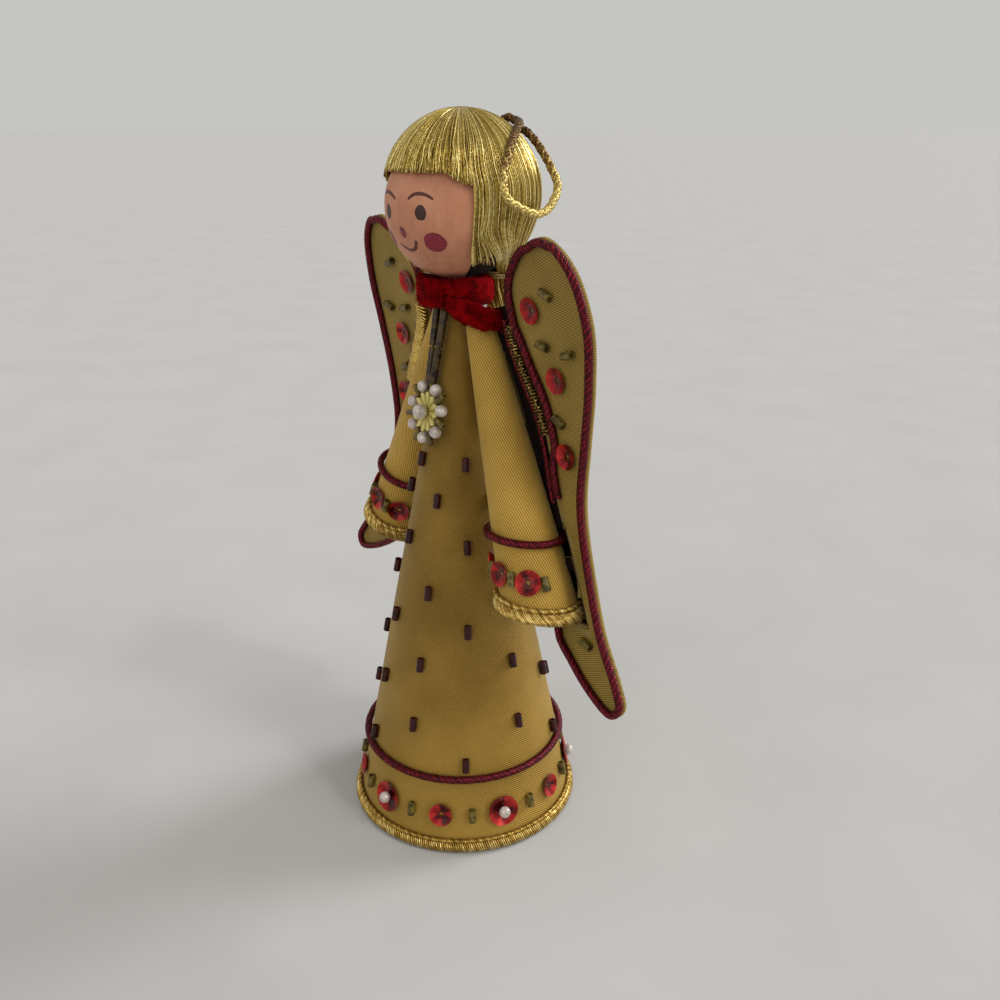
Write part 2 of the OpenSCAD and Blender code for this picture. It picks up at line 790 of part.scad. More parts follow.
module wing_beads(side) {
    color(bronze_bead)
        let (places = concat(wing_bead_places, [low_bead_place(side)]))
            for (i = [0 : len(places) - 1])
                on_wing(side, places[i], bugle_d / 2 + 2 * glue) rotate([0, 90 + wing_bead_tilts[i], 0]) bugle();
}

// One strip joins both wings behind the sleeves and is glued to the back of the cone
module wing_bridge() {
    color(gold_cloth) difference() {
        intersection() {
            bow_shell(wing_t + glue, wing_t + bridge_t);
            translate([-bridge_reach, 0, cone_top - bridge_drop]) cube([2 * bridge_reach, 2 * cone_r, bridge_h]);
        }
        translate([0, 0, fabric_foot])
            cylinder(r1 = cone_at(fabric_foot) + glue, r2 = cone_at(cone_top) + glue, h = cone_top - fabric_foot);
        for (side = [-1, 1]) sleeve_form(side, -clear);
    }
}

// Pendant: local -Z runs down the cone's slant and local -Y points forward
module pendant_place() {
    translate([0, -pendant_y, pendant_z]) rotate([-slant, 0, 0]) children();
}

module strand(side) {
    lean = atan((strand_spread[0] - strand_spread[1]) / strand_len);
    bead_gap = 0.2;
    bead_len = strand_len / 2 - bead_gap;
    translate([side * strand_spread[0], 0, 0]) rotate([0, side * lean, 0]) {
        difference() {
            union() {
                sphere(strand_r, $fn = 32);
                translate([0, 0, -bead_len]) cylinder(r = strand_r, h = bead_len, $fn = 32);
            }
            translate([0, 0, -bead_len - eps]) cylinder(r = strand_thread_r + run, h = bead_len + eps, $fn = 24);
        }
        difference() {
            translate([0, 0, -strand_len]) cylinder(r = strand_r, h = bead_len, $fn = 32);
            translate([0, 0, -strand_len - eps]) cylinder(r = strand_thread_r + run, h = bead_len + 2 * eps, $fn = 24);
        }
        translate([0, 0, glue - strand_len - 2]) cylinder(r = strand_thread_r, h = strand_len + 2 - 2 * glue, $fn = 24);
    }
}

module necklace_strands() {
    color("#3b352c") pendant_place() for (side = [-1, 1]) strand(side);
}

module flower_place() {
    pendant_place() translate([0, 0, -flower_drop]) children();
}

// Fluted disc with a dished front
module pendant_flower() {
    notch_r = flower_r * sin(180 / flower_flutes) * 0.7;
    color("#d9c565") flower_place() rotate([90, 0, 0]) difference() {
        cylinder(r = flower_r, h = flower_t, center = true);
        translate([0, 0, 3 * flower_r]) sphere(3 * flower_r, $fn = 96);
        for (i = [0 : flower_flutes - 1])
            rotate([0, 0, i * 360 / flower_flutes]) translate([flower_r + notch_r * 0.5, 0, 0])
                cylinder(r = notch_r, h = flower_t + eps, center = true, $fn = 24);
    }
}

module pendant_pearls() {
    color(pearl_white) flower_place()
        for (i = [0 : pearl_count - 1])
            rotate([0, pearl_start + i * 360 / pearl_count, 0]) translate([0, 0, pearl_ring_r]) sphere(d = pearl_d);
}

module pendant_centre_pearl() {
    color(pearl_white) flower_place() translate([0, -centre_pearl_d / 2 - glue, 0]) sphere(d = centre_pearl_d);
}

// The strands come in at the top gap between pearls, and the other gaps have beads
module pendant_bugle_beads() {
    color(bronze_bead) flower_place()
        for (i = [0 : pearl_count - 2])
            rotate([0, pearl_start + (i + 0.5) * 360 / pearl_count, 0])
                translate([0, 0, flower_r + bugle_len / 2 + glue]) bugle(d = 0.8 * bugle_d);
}

// Hanging loop
module hanging_loop() {
    path = [for (i = [0 : (len(loop_route) - 1) * loop_steps]) open_point(loop_route, i / loop_steps)];
    color(gold_cord_colour) tube(path, loop_d / 2, loop_facing);
}

body_card_cone();
body_fabric_cover();
skirt_cord();
hem_cord();
hem_fringe();
skirt_bugle_beads();
hem_sequins_large();
hem_sequins_small();
hem_pearls();
hem_bugle_beads();
neck_peg();
head_ball();
hair_cap();
hair_tail();
hair_tie();
scarf_wrap();
scarf_tail();
shoulder_thread();
necklace_cord();
wing_bridge();
wing_card(1);  // wing_left_card
wing_front_fabric(1);  // wing_left_front_fabric
wing_back_fabric(1);  // wing_left_back_fabric
wing_edge_cord(1);  // wing_left_edge_cord
wing_gold_braid(1);  // wing_left_gold_braid
wing_sequins(1);  // wing_left_sequins
wing_beads(1);  // wing_left_beads
wing_card(-1);  // wing_right_card
wing_front_fabric(-1);  // wing_right_front_fabric
wing_back_fabric(-1);  // wing_right_back_fabric
wing_edge_cord(-1);  // wing_right_edge_cord
wing_gold_braid(-1);  // wing_right_gold_braid
wing_sequins(-1);  // wing_right_sequins
wing_beads(-1);  // wing_right_beads
sleeve_card(1);  // sleeve_left_card
sleeve_fabric(1);  // sleeve_left_fabric
sleeve_cord(1);  // sleeve_left_cord
sleeve_cuff_cord(1);  // sleeve_left_cuff_cord
sleeve_cuff_fringe(1);  // sleeve_left_cuff_fringe
sleeve_sequins(1);  // sleeve_left_sequins
sleeve_bugle_beads(1);  // sleeve_left_bugle_beads
sleeve_card(-1);  // sleeve_right_card
sleeve_fabric(-1);  // sleeve_right_fabric
sleeve_cord(-1);  // sleeve_right_cord
sleeve_cuff_cord(-1);  // sleeve_right_cuff_cord
sleeve_cuff_fringe(-1);  // sleeve_right_cuff_fringe
sleeve_sequins(-1);  // sleeve_right_sequins
sleeve_bugle_beads(-1);  // sleeve_right_bugle_beads
necklace_strands();
pendant_flower();
pendant_pearls();
pendant_centre_pearl();
pendant_bugle_beads();
hanging_loop();
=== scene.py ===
"""Looks of the fabric angel tree topper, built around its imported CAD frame.

Sizes are in millimetres and are turned into metres where a mesh is made. +Z is up, the angel faces -Y.
"""
import math

import bmesh
import bpy
import numpy as np
from mathutils import Matrix, Vector, geometry


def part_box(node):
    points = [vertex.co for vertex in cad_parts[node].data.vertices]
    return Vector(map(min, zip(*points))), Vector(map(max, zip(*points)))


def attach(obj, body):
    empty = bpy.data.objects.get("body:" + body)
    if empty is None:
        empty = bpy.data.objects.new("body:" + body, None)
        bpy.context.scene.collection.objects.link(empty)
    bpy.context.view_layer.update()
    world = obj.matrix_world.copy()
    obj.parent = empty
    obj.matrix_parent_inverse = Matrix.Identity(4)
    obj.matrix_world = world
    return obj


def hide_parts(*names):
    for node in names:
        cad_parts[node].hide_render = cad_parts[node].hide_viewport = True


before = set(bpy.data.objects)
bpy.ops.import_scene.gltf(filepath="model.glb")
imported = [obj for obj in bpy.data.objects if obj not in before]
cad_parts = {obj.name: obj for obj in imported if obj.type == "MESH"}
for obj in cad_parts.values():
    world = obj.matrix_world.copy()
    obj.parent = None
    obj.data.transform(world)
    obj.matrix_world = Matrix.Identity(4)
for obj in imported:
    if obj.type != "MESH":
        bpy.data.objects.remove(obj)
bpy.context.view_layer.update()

MM = 0.001
UP = np.array([0.0, 0.0, 1.0])
FRONT = np.array([0.0, -1.0, 0.0])
STEEP = 0.9

# Cone and head
CONE_R, CONE_APEX, CONE_TOP = 29.5, 147.0, 135.788
SLANT = math.atan(CONE_R / CONE_APEX)
CLOTH_T, CLOTH_FOOT = 0.36, 0.2
HEAD_R, HEAD_Z, HEAD_TURN = 16.0, 157.788, 8.0
HEAD = HEAD_Z * UP
GLUE, CLEAR = 0.03, 0.4

# Cords
SKIRT_CORD_R, SKIRT_CORD_Z = 1.0, 20.0
HEM_CORD_R, HEM_CORD_Z = 1.1, 2.7
EDGE_CORD_R, BRAID_R, ROOT_CORD_R = 0.95, 1.2, 0.6
NECKLACE_Z, NECKLACE_R = 134.388, 0.35

# Sleeves: start, spread, length and cuff slopes, with +1 for the angel's left
SHOULDER = np.array([7.29252, 1.6, 132.088])
SLEEVE_TIP_R, SLEEVE_SLANT = 3.5, math.radians(4.8)
SLEEVE_SPREAD, SLEEVE_FORWARD = math.radians(22), math.radians(1)
SLEEVE_LEN = {1: 66.4, -1: 64.8}
CUFF_DIP = {1: math.radians(6.5), -1: math.radians(1)}
CUFF_RISE = {1: 0.0, -1: math.radians(22)}
SLEEVE_CORD_UP, CUFF_CORD_UP, CUFF_DROP = 16.6, 1.2, 2.0
SLEEVE_ROW_UP, SLEEVE_ROW_ANGLE = 7.9, 23.5
SLEEVE_REAR = 90
SIDE_NAME = {1: "left", -1: "right"}

# Wings
WING_T, WING_SET, BOW_R, BOW_Z = 0.9, 6.2, 220.0, 96.788
# Left wing's outline: distance out, height above the cone's top, inset of the edge cord
WING_OUTLINE = np.array([
    [17, 0, 2.5], [19, 7, 1.2], [25, 13.8, 0.7], [34, 17.8, 0.5], [41.8, 12.4, 0.9], [45.1, 1, 1.2],
    [44, -12, 1.2], [41.8, -26, 1.2], [40.7, -39, 1.2], [43.4, -51, 1.2], [50, -66, 1.2],
    [57.6, -75.8, 1.2], [60.4, -80.6, 1.2], [57.4, -83.6, 1.2], [50, -81.4, 1.2], [43, -77.6, 1.2],
    [36.5, -72.5, 1.2], [40, -66, 1.2], [40.6, -59, 1.2], [34.5, -48, 1.2], [30.4, -39, 2],
    [28, -29, 3.6], [24.6, -20.5, 4.6], [20.2, -13, 4.6], [17, -5.5, 4.2],
])
# Spans along the outline, counted in its points
EDGE_CORD_SPAN, LEFT_CORD_START = (21, 41), 19.8
BRAID_SPAN, BRAID_INSET = (21.3, 24.6), {1: 1.5, -1: 3.1}
ROOT_STEPS, ROOT_SHARES, ROOT_IN, ROOT_SPAN = 36, (-0.05, 0.9), 2.0, (18.3, 25.3)
WING_SEQUINS = [(26, 2), (32.6, -12.5), (35, -29.5)]

# Trim
SEQUIN_LARGE, SEQUIN_SMALL, SEQUIN_CUP, SEQUIN_T, SEQUIN_HOLE = 8.0, 6.0, 0.8, 0.25, 0.5
HEM_ROW_Z, HEM_FIRST, HEM_STEP = 10.0, 10.4, 33.3

# Hanging loop's route, as in the part's source
LOOP_R, LOOP_LENGTH = 0.95, 0.0772
LOOP_ROUTE = np.array([
    [0.5, 11, 174.5], [2.5, 12.5, 176.5], [5, 13, 176], [8, 12, 175.5], [11.5, 9, 174.5],
    [17.5, 2.5, 170.5], [20, -1, 164.5], [21, -1, 161], [20.5, 2, 159], [19.5, 8, 157],
    [18.5, 12.5, 158], [17, 16, 162], [14, 16.5, 166], [9.5, 16, 171], [5.5, 15, 174],
    [2.5, 13, 173.5],
])


# Curves and forms

def unit(v):
    """A vector, or each of many, at length 1."""
    return v / np.linalg.norm(v, axis=-1, keepdims=True)


def polar(angle, reach, z=0.0):
    """Points at angles in degrees from the front towards +X, by their reach from the axis."""
    a = np.radians(angle)
    return np.stack(np.broadcast_arrays(reach * np.sin(a), -reach * np.cos(a), z), -1)


def smooth_step(value, low, high):
    t = np.clip((value - low) / (high - low), 0, 1)
    return t * t * (3 - 2 * t)


def blend(a, b, c, d, t):
    """Catmull-Rom between b and c."""
    return 0.5 * (2 * b + (c - a) * t + (2 * a - 5 * b + 4 * c - d) * t**2 + (3 * b - a - 3 * c + d) * t**3)


def ring_point(points, u):
    i = math.floor(u)
    return blend(*(points[(i + k) % len(points)] for k in (-1, 0, 1, 2)), u - i)


def through(points, steps):
    """Smooth open curve through points."""
    points = np.array(points, float)
    last = len(points) - 1
    curve = []
    for k in range(last * steps + 1):
        i = min(k // steps, last - 1)
        curve.append(blend(*(points[min(max(i + j, 0), last)] for j in (-1, 0, 1, 2)), k / steps - i))
    return np.array(curve)


def even(path, step, closed=False):
    """The path with points at even distances, and its length."""
    line = np.vstack([path, path[:1]]) if closed else np.asarray(path)
    at = np.concatenate([[0], np.cumsum(np.linalg.norm(np.diff(line, axis=0), axis=1))])
    count = max(2, round(at[-1] / step))
    wanted = np.linspace(0, at[-1], count + 1)[:count if closed else None]
    return np.stack([np.interp(wanted, at, line[:, k]) for k in range(3)], 1), at[-1]


def frames_along(path, closed=False, facing=None):
    """Two directions square to the path at each point, carried along it without twist."""
    if closed:
        ahead = unit(np.roll(path, -1, 0) - np.roll(path, 1, 0))
    else:
        ahead = unit(np.gradient(path, axis=0))
    if facing is not None:
        side = facing - (ahead @ facing)[:, None] * ahead
    else:
        side = np.zeros_like(ahead)
        carried = UP if abs(ahead[0][2]) < STEEP else FRONT
        for i, way in enumerate(ahead):
            carried = side[i] = carried - (carried @ way) * way
    side = unit(side)
    return side, np.cross(ahead, side)


def grid_faces(rows, cols, wrap_rows=False, wrap_cols=False):
    """Faces of a grid of points that runs row by row."""
    faces = []
    for i in range(rows if wrap_rows else rows - 1):
        a, b = i * cols, ((i + 1) % rows) * cols
        for j in range(cols if wrap_cols else cols - 1):
            k = (j + 1) % cols
            faces.append((a + j, a + k, b + k, b + j))
    return faces


def capped_faces(rows, cols):
    """Faces of a tube of points that is closed at both ends."""
    last = range((rows - 1) * cols, rows * cols)
    return grid_faces(rows, cols, wrap_cols=True) + [tuple(range(cols))[::-1], tuple(last)]


def new_mesh(name, points, faces):
    """A mesh in metres with its faces turned outwards."""
    mesh = bpy.data.meshes.new(name)
    mesh.from_pydata((np.reshape(points, (-1, 3)) * MM).tolist(), [], faces)
    turned_out = bmesh.new()
    turned_out.from_mesh(mesh)
    bmesh.ops.recalc_face_normals(turned_out, faces=turned_out.faces)
    turned_out.to_mesh(mesh)
    turned_out.free()
    return mesh


def new_object(name, data):
    made = bpy.data.objects.new(name, data)
    bpy.context.scene.collection.objects.link(made)
    return made


class Form:
    """Points and faces of one piece, with where each point lies on its cloth and its tone."""

    def __init__(self):
        self.points, self.faces, self.weave, self.tone, self.count = [], [], [], [], 0

    def add(self, points, faces, weave=None, tone=0.5):
        points = np.asarray(points, float).reshape(-1, 3)
        self.points.append(points)
        self.faces += [tuple(self.count + i for i in face) for face in faces]
        self.weave.append(points if weave is None else np.asarray(weave, float).reshape(-1, 3))
        self.tone.append(np.broadcast_to(np.asarray(tone, float).ravel(), len(points)))
        self.count += len(points)
        return self

    def shell(self, outer, inner, weave=None, tone=0.5):
        """Two grids of points, one inside the other, closed along their edges."""
        rows, cols = outer.shape[:2]
        n = rows * cols
        faces = grid_faces(rows, cols)
        faces += [tuple(n + i for i in face[::-1]) for face in faces]
        edge = [*range(cols), *range(2 * cols - 1, n, cols)]
        edge += [*range(n - 2, n - cols - 1, -1), *range(n - 2 * cols, 0, -cols)]
        faces += [(a, a + n, b + n, b) for a, b in zip(edge, edge[1:] + edge[:1])]
        weave = outer if weave is None else weave
        return self.add(np.stack([outer, inner]), faces, np.stack([weave, weave]), tone)

    def tube(self, path, radius, sides=6, closed=False, tone=0.5, facing=None):
        """A tube along the path; the radius may change along it."""
        path = np.asarray(path, float)
        radius = np.broadcast_to(radius, len(path))
        side, other = frames_along(path, closed, facing)
        turn = (np.arange(sides) * 2 * np.pi / sides)[None, :, None]
        ring = np.cos(turn) * side[:, None] + np.sin(turn) * other[:, None]
        points = path[:, None] + radius[:, None, None] * ring
        if closed:
            faces = grid_faces(len(path), sides, wrap_rows=True, wrap_cols=True)
        else:
            faces = capped_faces(len(path), sides)
        return self.add(points, faces, tone=tone)

    def rope(self, path, radius, strands, pitch, closed=False, facing=None, tones=(0.5,)):
        """Strands twisted round each other along the path."""
        steps_per_turn, sides, press = 9, 5, 1.06
        path, length = even(path, pitch / steps_per_turn, closed)
        turns = round(length / pitch) if closed else length / pitch
        side, other = frames_along(path, closed, facing)
        strand_r = radius / (1 + 1 / math.sin(math.pi / strands))
        along = np.arange(len(path)) / (len(path) if closed else len(path) - 1)
        for k in range(strands):
            angle = 2 * np.pi * (along * turns + k / strands)[:, None]
            off = (radius - strand_r) * (np.cos(angle) * side + np.sin(angle) * other)
            self.tube(path + off, strand_r * press, sides, closed, tones[k % len(tones)], facing)
        return self

    def piece(self, name, body, material, replaces=(), slot=None, smooth=True):
        """The form as a Blender object that rides on a body."""
        mesh = new_mesh(name, np.vstack(self.points), self.faces)
        mesh.attributes.new("weave", "FLOAT_VECTOR", "POINT").data.foreach_set(
            "vector", np.vstack(self.weave).astype(np.float32).ravel())
        mesh.attributes.new("tone", "FLOAT", "POINT").data.foreach_set(
            "value", np.concatenate(self.tone).astype(np.float32))
        mesh.polygons.foreach_set("use_smooth", [smooth] * len(mesh.polygons))
        mesh.materials.append(material)
        made = new_object(name, mesh)
        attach(made, body)
        if replaces:
            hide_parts(*replaces)
        return made


# Materials

def rgb(code):
    """A colour written as on screen, as the linear values that a shader takes."""
    parts = [int(code[i:i + 2], 16) / 255 for i in (1, 3, 5)]
    return tuple(c / 12.92 if c <= 0.04045 else ((c + 0.055) / 1.055) ** 2.4 for c in parts) + (1.0,)


class Shader:
    """A material whose nodes are added by short calls."""

    def __init__(self, name, rough=0.5, metal=0.0, specular=0.5):
        self.material = bpy.data.materials.new(name)
        self.material.use_nodes = True
        self.tree = self.material.node_tree
        self.surface = self.tree.nodes["Principled BSDF"]
        self.set("Roughness", rough)
        self.set("Metallic", metal)
        self.set("Specular IOR Level", specular)

    def give(self, socket, value):
        """Links a socket to another node's output, or sets its value."""
        if isinstance(value, bpy.types.NodeSocket):
            self.tree.links.new(value, socket)
        else:
            socket.default_value = value

    def set(self, socket, value):
        self.give(self.surface.inputs[socket], value)

    def node(self, kind, out=0, settings=None, **inputs):
        """A new node's output; inputs go by name, or as i0, i1 and so on."""
        made = self.tree.nodes.new("ShaderNode" + kind)
        for key, value in (settings or {}).items():
            setattr(made, key, value)
        for key, value in inputs.items():
            by_number = key[0] == "i" and key[1:].isdigit()
            self.give(made.inputs[int(key[1:]) if by_number else key], value)
        return made.outputs[out]

    def weave(self):
        return self.node("Attribute", "Vector", {"attribute_name": "weave"})

    def tone(self):
        return self.node("Attribute", "Fac", {"attribute_name": "tone"})

    def place(self):
        """Where a point is in the part, in millimetres."""
        spot = self.node("TexCoord", "Object")
        return self.node("VectorMath", 0, {"operation": "SCALE"}, i0=spot, Scale=1 / MM)

    def drawn_out(self, share):
        """The place with its height squeezed, so that a noise on it is long."""
        return self.node("Mapping", 0, Vector=self.place(), Scale=(1, 1, share))

    def noise(self, vector, scale, detail=2.0, rough=0.5):
        return self.node("TexNoise", "Fac", Vector=vector, Scale=scale, Detail=detail, Roughness=rough)

    def bands(self, vector, pitch, angle, distortion):
        """Parallel lines at a pitch, turned by an angle in degrees."""
        turned_way = self.node("Mapping", 0, Vector=vector, Rotation=(0, 0, math.radians(angle)))
        return self.node("TexWave", "Fac", {"bands_direction": "Y"}, Vector=turned_way,
                         Scale=2 * math.pi / (20 * pitch), Distortion=distortion, Detail=1.0)

    def math(self, operation, *values):
        return self.node("Math", 0, {"operation": operation}, **{f"i{k}": v for k, v in enumerate(values)})

    def total(self, a, a_share, b, b_share):
        return self.math("ADD", self.math("MULTIPLY", a, a_share), self.math("MULTIPLY", b, b_share))

    def spread(self, value, low, high, start=0.0, end=1.0):
        return self.node("MapRange", 0, i0=value, i1=start, i2=end, i3=low, i4=high)

    def colour(self, value, *stops):
        """Colours the surface by a value; stops are (place, colour)."""
        made = self.tree.nodes.new("ShaderNodeValToRGB")
        row = made.color_ramp.elements
        while len(row) < len(stops):
            row.new(0.5)
        for element, (place, code) in zip(row, stops):
            element.position, element.color = place, rgb(code)
        self.give(made.inputs[0], value)
        self.set("Base Color", made.outputs[0])

    def bump(self, height, strength, distance):
        self.set("Normal", self.node("Bump", 0, Height=height, Strength=strength, Distance=distance * MM))


def cloth(name, dark, mid, light, angle, rough=0.55, from_place=False, height_shading=0.0, sheen=0.3):
    """Satin twill: slanting ribs, finer threads across them and slow changes of tone."""
    rib_pitch, thread_pitch, thread_turn, height_shading_low, height_shading_high = 0.48, 0.264, 68, 8.0, 62.0
    s = Shader(name, rough, specular=0.14)
    at = s.place() if from_place else s.weave()
    if from_place:
        at = s.node("Mapping", 0, Vector=at, Rotation=(math.radians(90), 0, 0))
    ribs = s.bands(at, rib_pitch, angle, 0.6)
    threads = s.bands(at, thread_pitch, angle + thread_turn, 0.4)
    height = s.math("MULTIPLY_ADD", threads, 0.35, ribs)
    drift = s.total(s.noise(at, 0.06, 3.0), 0.44, s.noise(at, 1.1), 0.16)
    value = s.math("MULTIPLY_ADD", height, 0.5, drift)
    # height_shading paints the cloth lighter near the foot and darker higher up, as the shade of the sleeves
    # and wings on the body
    if height_shading:
        rise = s.node("SeparateXYZ", "Z", Vector=s.place())
        value = s.math("ADD", value, s.spread(rise, height_shading, -height_shading, height_shading_low, height_shading_high))
    s.colour(value, (0.3, dark), (0.6, mid), (0.88, light))
    s.set("Roughness", s.spread(height, rough + 0.1, rough - 0.08))
    s.set("Sheen Weight", sheen)
    s.set("Sheen Roughness", 0.4)
    s.set("Sheen Tint", rgb("#f0dfa8"))
    s.bump(height, 0.5, 0.14)
    return s.material


def grained(name, stops, rough, metal=0.0, specular=0.5, grain=(1.0,), squeeze=1.0, tone_shares=None,
            rough_span=None, rough_grain=None, bump=None, bump_grain=None, coat=None):
    """A surface coloured by a noise, and by its points' tones where those have a share.

    A grain is a noise's scale, detail and roughness. Roughness and bump use the main one if they have none.
    """
    s = Shader(name, rough, metal, specular)
    at = s.place() if squeeze == 1.0 else s.drawn_out(squeeze)
    main = s.noise(at, *grain)
    value = s.total(s.tone(), tone_shares[0], main, tone_shares[1]) if tone_shares else main
    s.colour(value, *stops)
    if rough_span:
        s.set("Roughness", s.spread(s.noise(at, *rough_grain) if rough_grain else main, *rough_span))
    if bump:
        s.bump(s.noise(at, *bump_grain) if bump_grain else main, *bump)
    if coat:
        s.set("Coat Weight", coat[0])
        s.set("Coat Roughness", coat[1])
    return s.material


def lurex(name, dark, mid, light, rough=0.3, metal=0.75, scale=2.2, by_tone=0.3):
    """Metallic yarn: fine filaments, with a colour noise that paints shade in its folds and bright glints."""
    return grained(name, ((0.32, dark), (0.52, mid), (0.7, light)), rough, metal, grain=(scale, 3.0, 0.7),
                   tone_shares=(by_tone, 1.05 - by_tone), rough_span=(rough + 0.2, rough - 0.1, 0.3, 0.7),
                   bump=(0.5, 0.12), bump_grain=(scale * 1.6,))


def glass(name, dark, light, rough, coat):
    """Lined glass bead: dark inside, bright streaks along it."""
    return grained(name, ((0.35, dark), (0.7, light)), rough, specular=0.25, grain=(0.7,),
                   rough_span=(rough, rough + 0.15), rough_grain=(2.0,), coat=(coat, 0.08))


def paint(name, dark, light):
    """Face paint with brush strokes."""
    return grained(name, ((0.35, dark), (0.7, light)), 0.45, specular=0.45, grain=(1.6, 3.0), squeeze=0.4,
                   rough_span=(0.38, 0.55), bump=(0.15, 0.05))


def fibre(name, dark, light, rough, scale=1.2):
    """Card, wood or plain thread with fine fibres."""
    return grained(name, ((0.3, dark), (0.72, light)), rough, specular=0.3, grain=(scale, 4.0, 0.65),
                   squeeze=0.3, rough_span=(rough - 0.1, rough + 0.1), bump=(0.2, 0.08))


def felt(name):
    """Deep red plush with a soft nap."""
    s = Shader(name, 0.95, specular=0.04)
    at = s.place()
    pile = s.noise(at, 2.6, 4.0, 0.7)
    value = s.math("MULTIPLY_ADD", pile, 0.6, s.math("MULTIPLY", s.noise(at, 0.35), 0.55))
    s.colour(value, (0.42, "#340001"), (0.62, "#740105"), (0.84, "#9c050b"))
    s.set("Sheen Weight", 0.15)
    s.set("Sheen Tint", rgb("#b01018"))
    s.bump(pile, 0.6, 0.3)
    return s.material


def painted_wood(name):
    """Skin paint on turned wood, with faint grain and brush marks."""
    s = Shader(name, 0.5, specular=0.4)
    grain = s.noise(s.drawn_out(0.22), 0.8, 4.0, 0.6)
    value = s.total(grain, 0.45, s.noise(s.place(), 0.12), 0.55)
    s.colour(value, (0.3, "#a2684a"), (0.52, "#b87b5c"), (0.75, "#c68c6e"))
    s.set("Roughness", s.spread(grain, 0.42, 0.6))
    s.bump(grain, 0.12, 0.1)
    return s.material


BODY_CLOTH = cloth("gold_twill_body", "#5c4310", "#856426", "#ae8c3e", 22, height_shading=0.12)
SLEEVE_CLOTH = cloth("gold_twill_sleeve", "#765517", "#a58032", "#cda751", 55)
WING_CLOTH = cloth("gold_twill_wing", "#5f4a16", "#836a2a", "#a28746", -25)
BRIDGE_CLOTH = cloth("gold_twill_bridge", "#5f4a16", "#836a2a", "#a28746", 0, from_place=True)
# Near-black cloth laid where there is only deep shade, behind the sleeves, under the lock and on the wings'
# cut edges: painted shade
PAINTED_SHADE = cloth("painted_shade_cloth", "#060202", "#0d0404", "#1a0908", 0, rough=0.8, sheen=0.0)
RED_CORD = lurex("red_lurex_cord", "#1c0206", "#4e0712", "#a82034", 0.3, 0.7, 2.6)
GOLD_CORD = lurex("gold_lurex_cord", "#6a4e18", "#b48f3e", "#f0d88e", 0.28, 0.8, 1.0, 0.45)
# The loop cord leans on each point's tone, which carries painted shade and reflection along the loop
LOOP_CORD = lurex("gold_loop_cord", "#38240e", "#76562a", "#d2b96e", 0.3, 0.75, 0.9, 0.6)
# The left wing's bullion is a darkened copy of the gold one: painted shade for the sleeve's shadow over it
BULLION = {1: lurex("gold_bullion_in_painted_shade", "#0d0503", "#2e170b", "#e2bd62", 0.26, 0.8, 2.8, 0.05),
           -1: lurex("gold_bullion", "#6a4d10", "#c49a35", "#ffe58a", 0.22, 0.9)}
# Each thread has its own tone, with changes along it from a noise that paints bright glints up to near white
HAIR = grained("gold_hair_thread", ((0.2, "#46350e"), (0.46, "#977b32"), (0.66, "#c6ab58"), (0.86, "#fff2ae")),
               0.26, 0.75, grain=(1.7, 3.0, 0.65), tone_shares=(0.5, 0.62), rough_span=(0.48, 0.2, 0.35, 0.65),
               bump=(0.4, 0.06), bump_grain=(3.0,))
FELT = felt("red_plush")
RED_GLASS = glass("red_bugle_glass", "#180204", "#3f0709", 0.2, 0.1)
BRONZE_GLASS = glass("bronze_bugle_glass", "#3a300e", "#7c6a2e", 0.3, 0.08)
DARK_GLASS = glass("dark_strand_glass", "#100a04", "#57401c", 0.07, 0.12)
# Shiny red film; each point's tone is a painted reflection: darker towards the middle, lighter at the rim and
# different on each facet
SEQUIN = grained("red_sequin_film", ((0.25, "#3c0305"), (0.55, "#92100f"), (0.85, "#c42c26")), 0.28, 0.5, 0.3,
                 grain=(0.8,), tone_shares=(0.7, 0.4), rough_span=(0.2, 0.36), rough_grain=(1.5,),
                 coat=(0.2, 0.08))
PEARL = grained("pearl_coat", ((0.3, "#9c8c80"), (0.55, "#c2b5ab"), (0.8, "#e4ddd6")), 0.18, 0.1, 0.7,
                grain=(0.45,), coat=(0.9, 0.06))
SKIN = painted_wood("skin_paint")
BROWN_PAINT = paint("brown_face_paint", "#260b06", "#451a12")
BROW_PAINT = paint("brow_face_paint", "#401408", "#5c2414")
PLUM_PAINT = paint("plum_face_paint", "#6c0f20", "#86182e")
NOSE_PAINT = paint("nose_face_paint", "#6a2426", "#823638")
CARD = fibre("grey_card", "#8d8272", "#b3a996", 0.85)
WOOD = fibre("plain_wood", "#9a7648", "#c49f6c", 0.6, 0.8)
THREAD = fibre("pale_thread", "#a8955a", "#e2d49c", 0.6, 2.0)
DARK_THREAD = fibre("dark_thread", "#1e1a14", "#463d30", 0.6, 2.0)
PETAL = grained("yellow_petal", ((0.2, "#7d6c22"), (0.5, "#b7a64e"), (0.85, "#dccf86")), 0.35, 0.15,
                grain=(1.4, 3.0), tone_shares=(0.75, 0.3), bump=(0.2, 0.08), bump_grain=(2.5,))
FLOOR = grained("pale_floor", ((0.3, "#b7b6b4"), (0.7, "#bcbbb9")), 0.85, specular=0.2, grain=(0.02, 3.0),
                bump=(0.05, 0.1), bump_grain=(0.5, 3.0))


# Camera: the photograph's viewing angle

def add_camera():
    lens, sensor, nearest = 34.2, 36.0, 0.01
    eye = Vector((188.92, -123.25, 174.40)) * MM
    right, up, away = (0.5836, 0.8120, -0.0009), (-0.2958, 0.2136, 0.9311), (0.7562, -0.5431, 0.3649)
    data = bpy.data.cameras.new("camera")
    data.lens, data.sensor_width, data.clip_start = lens, sensor, nearest
    made = new_object("camera", data)
    made.matrix_world = Matrix.Translation(eye) @ Matrix((right, up, away)).transposed().to_4x4()
    bpy.context.scene.camera = made


add_camera()


# Hanging loop: a round braid of strands that cross over and under

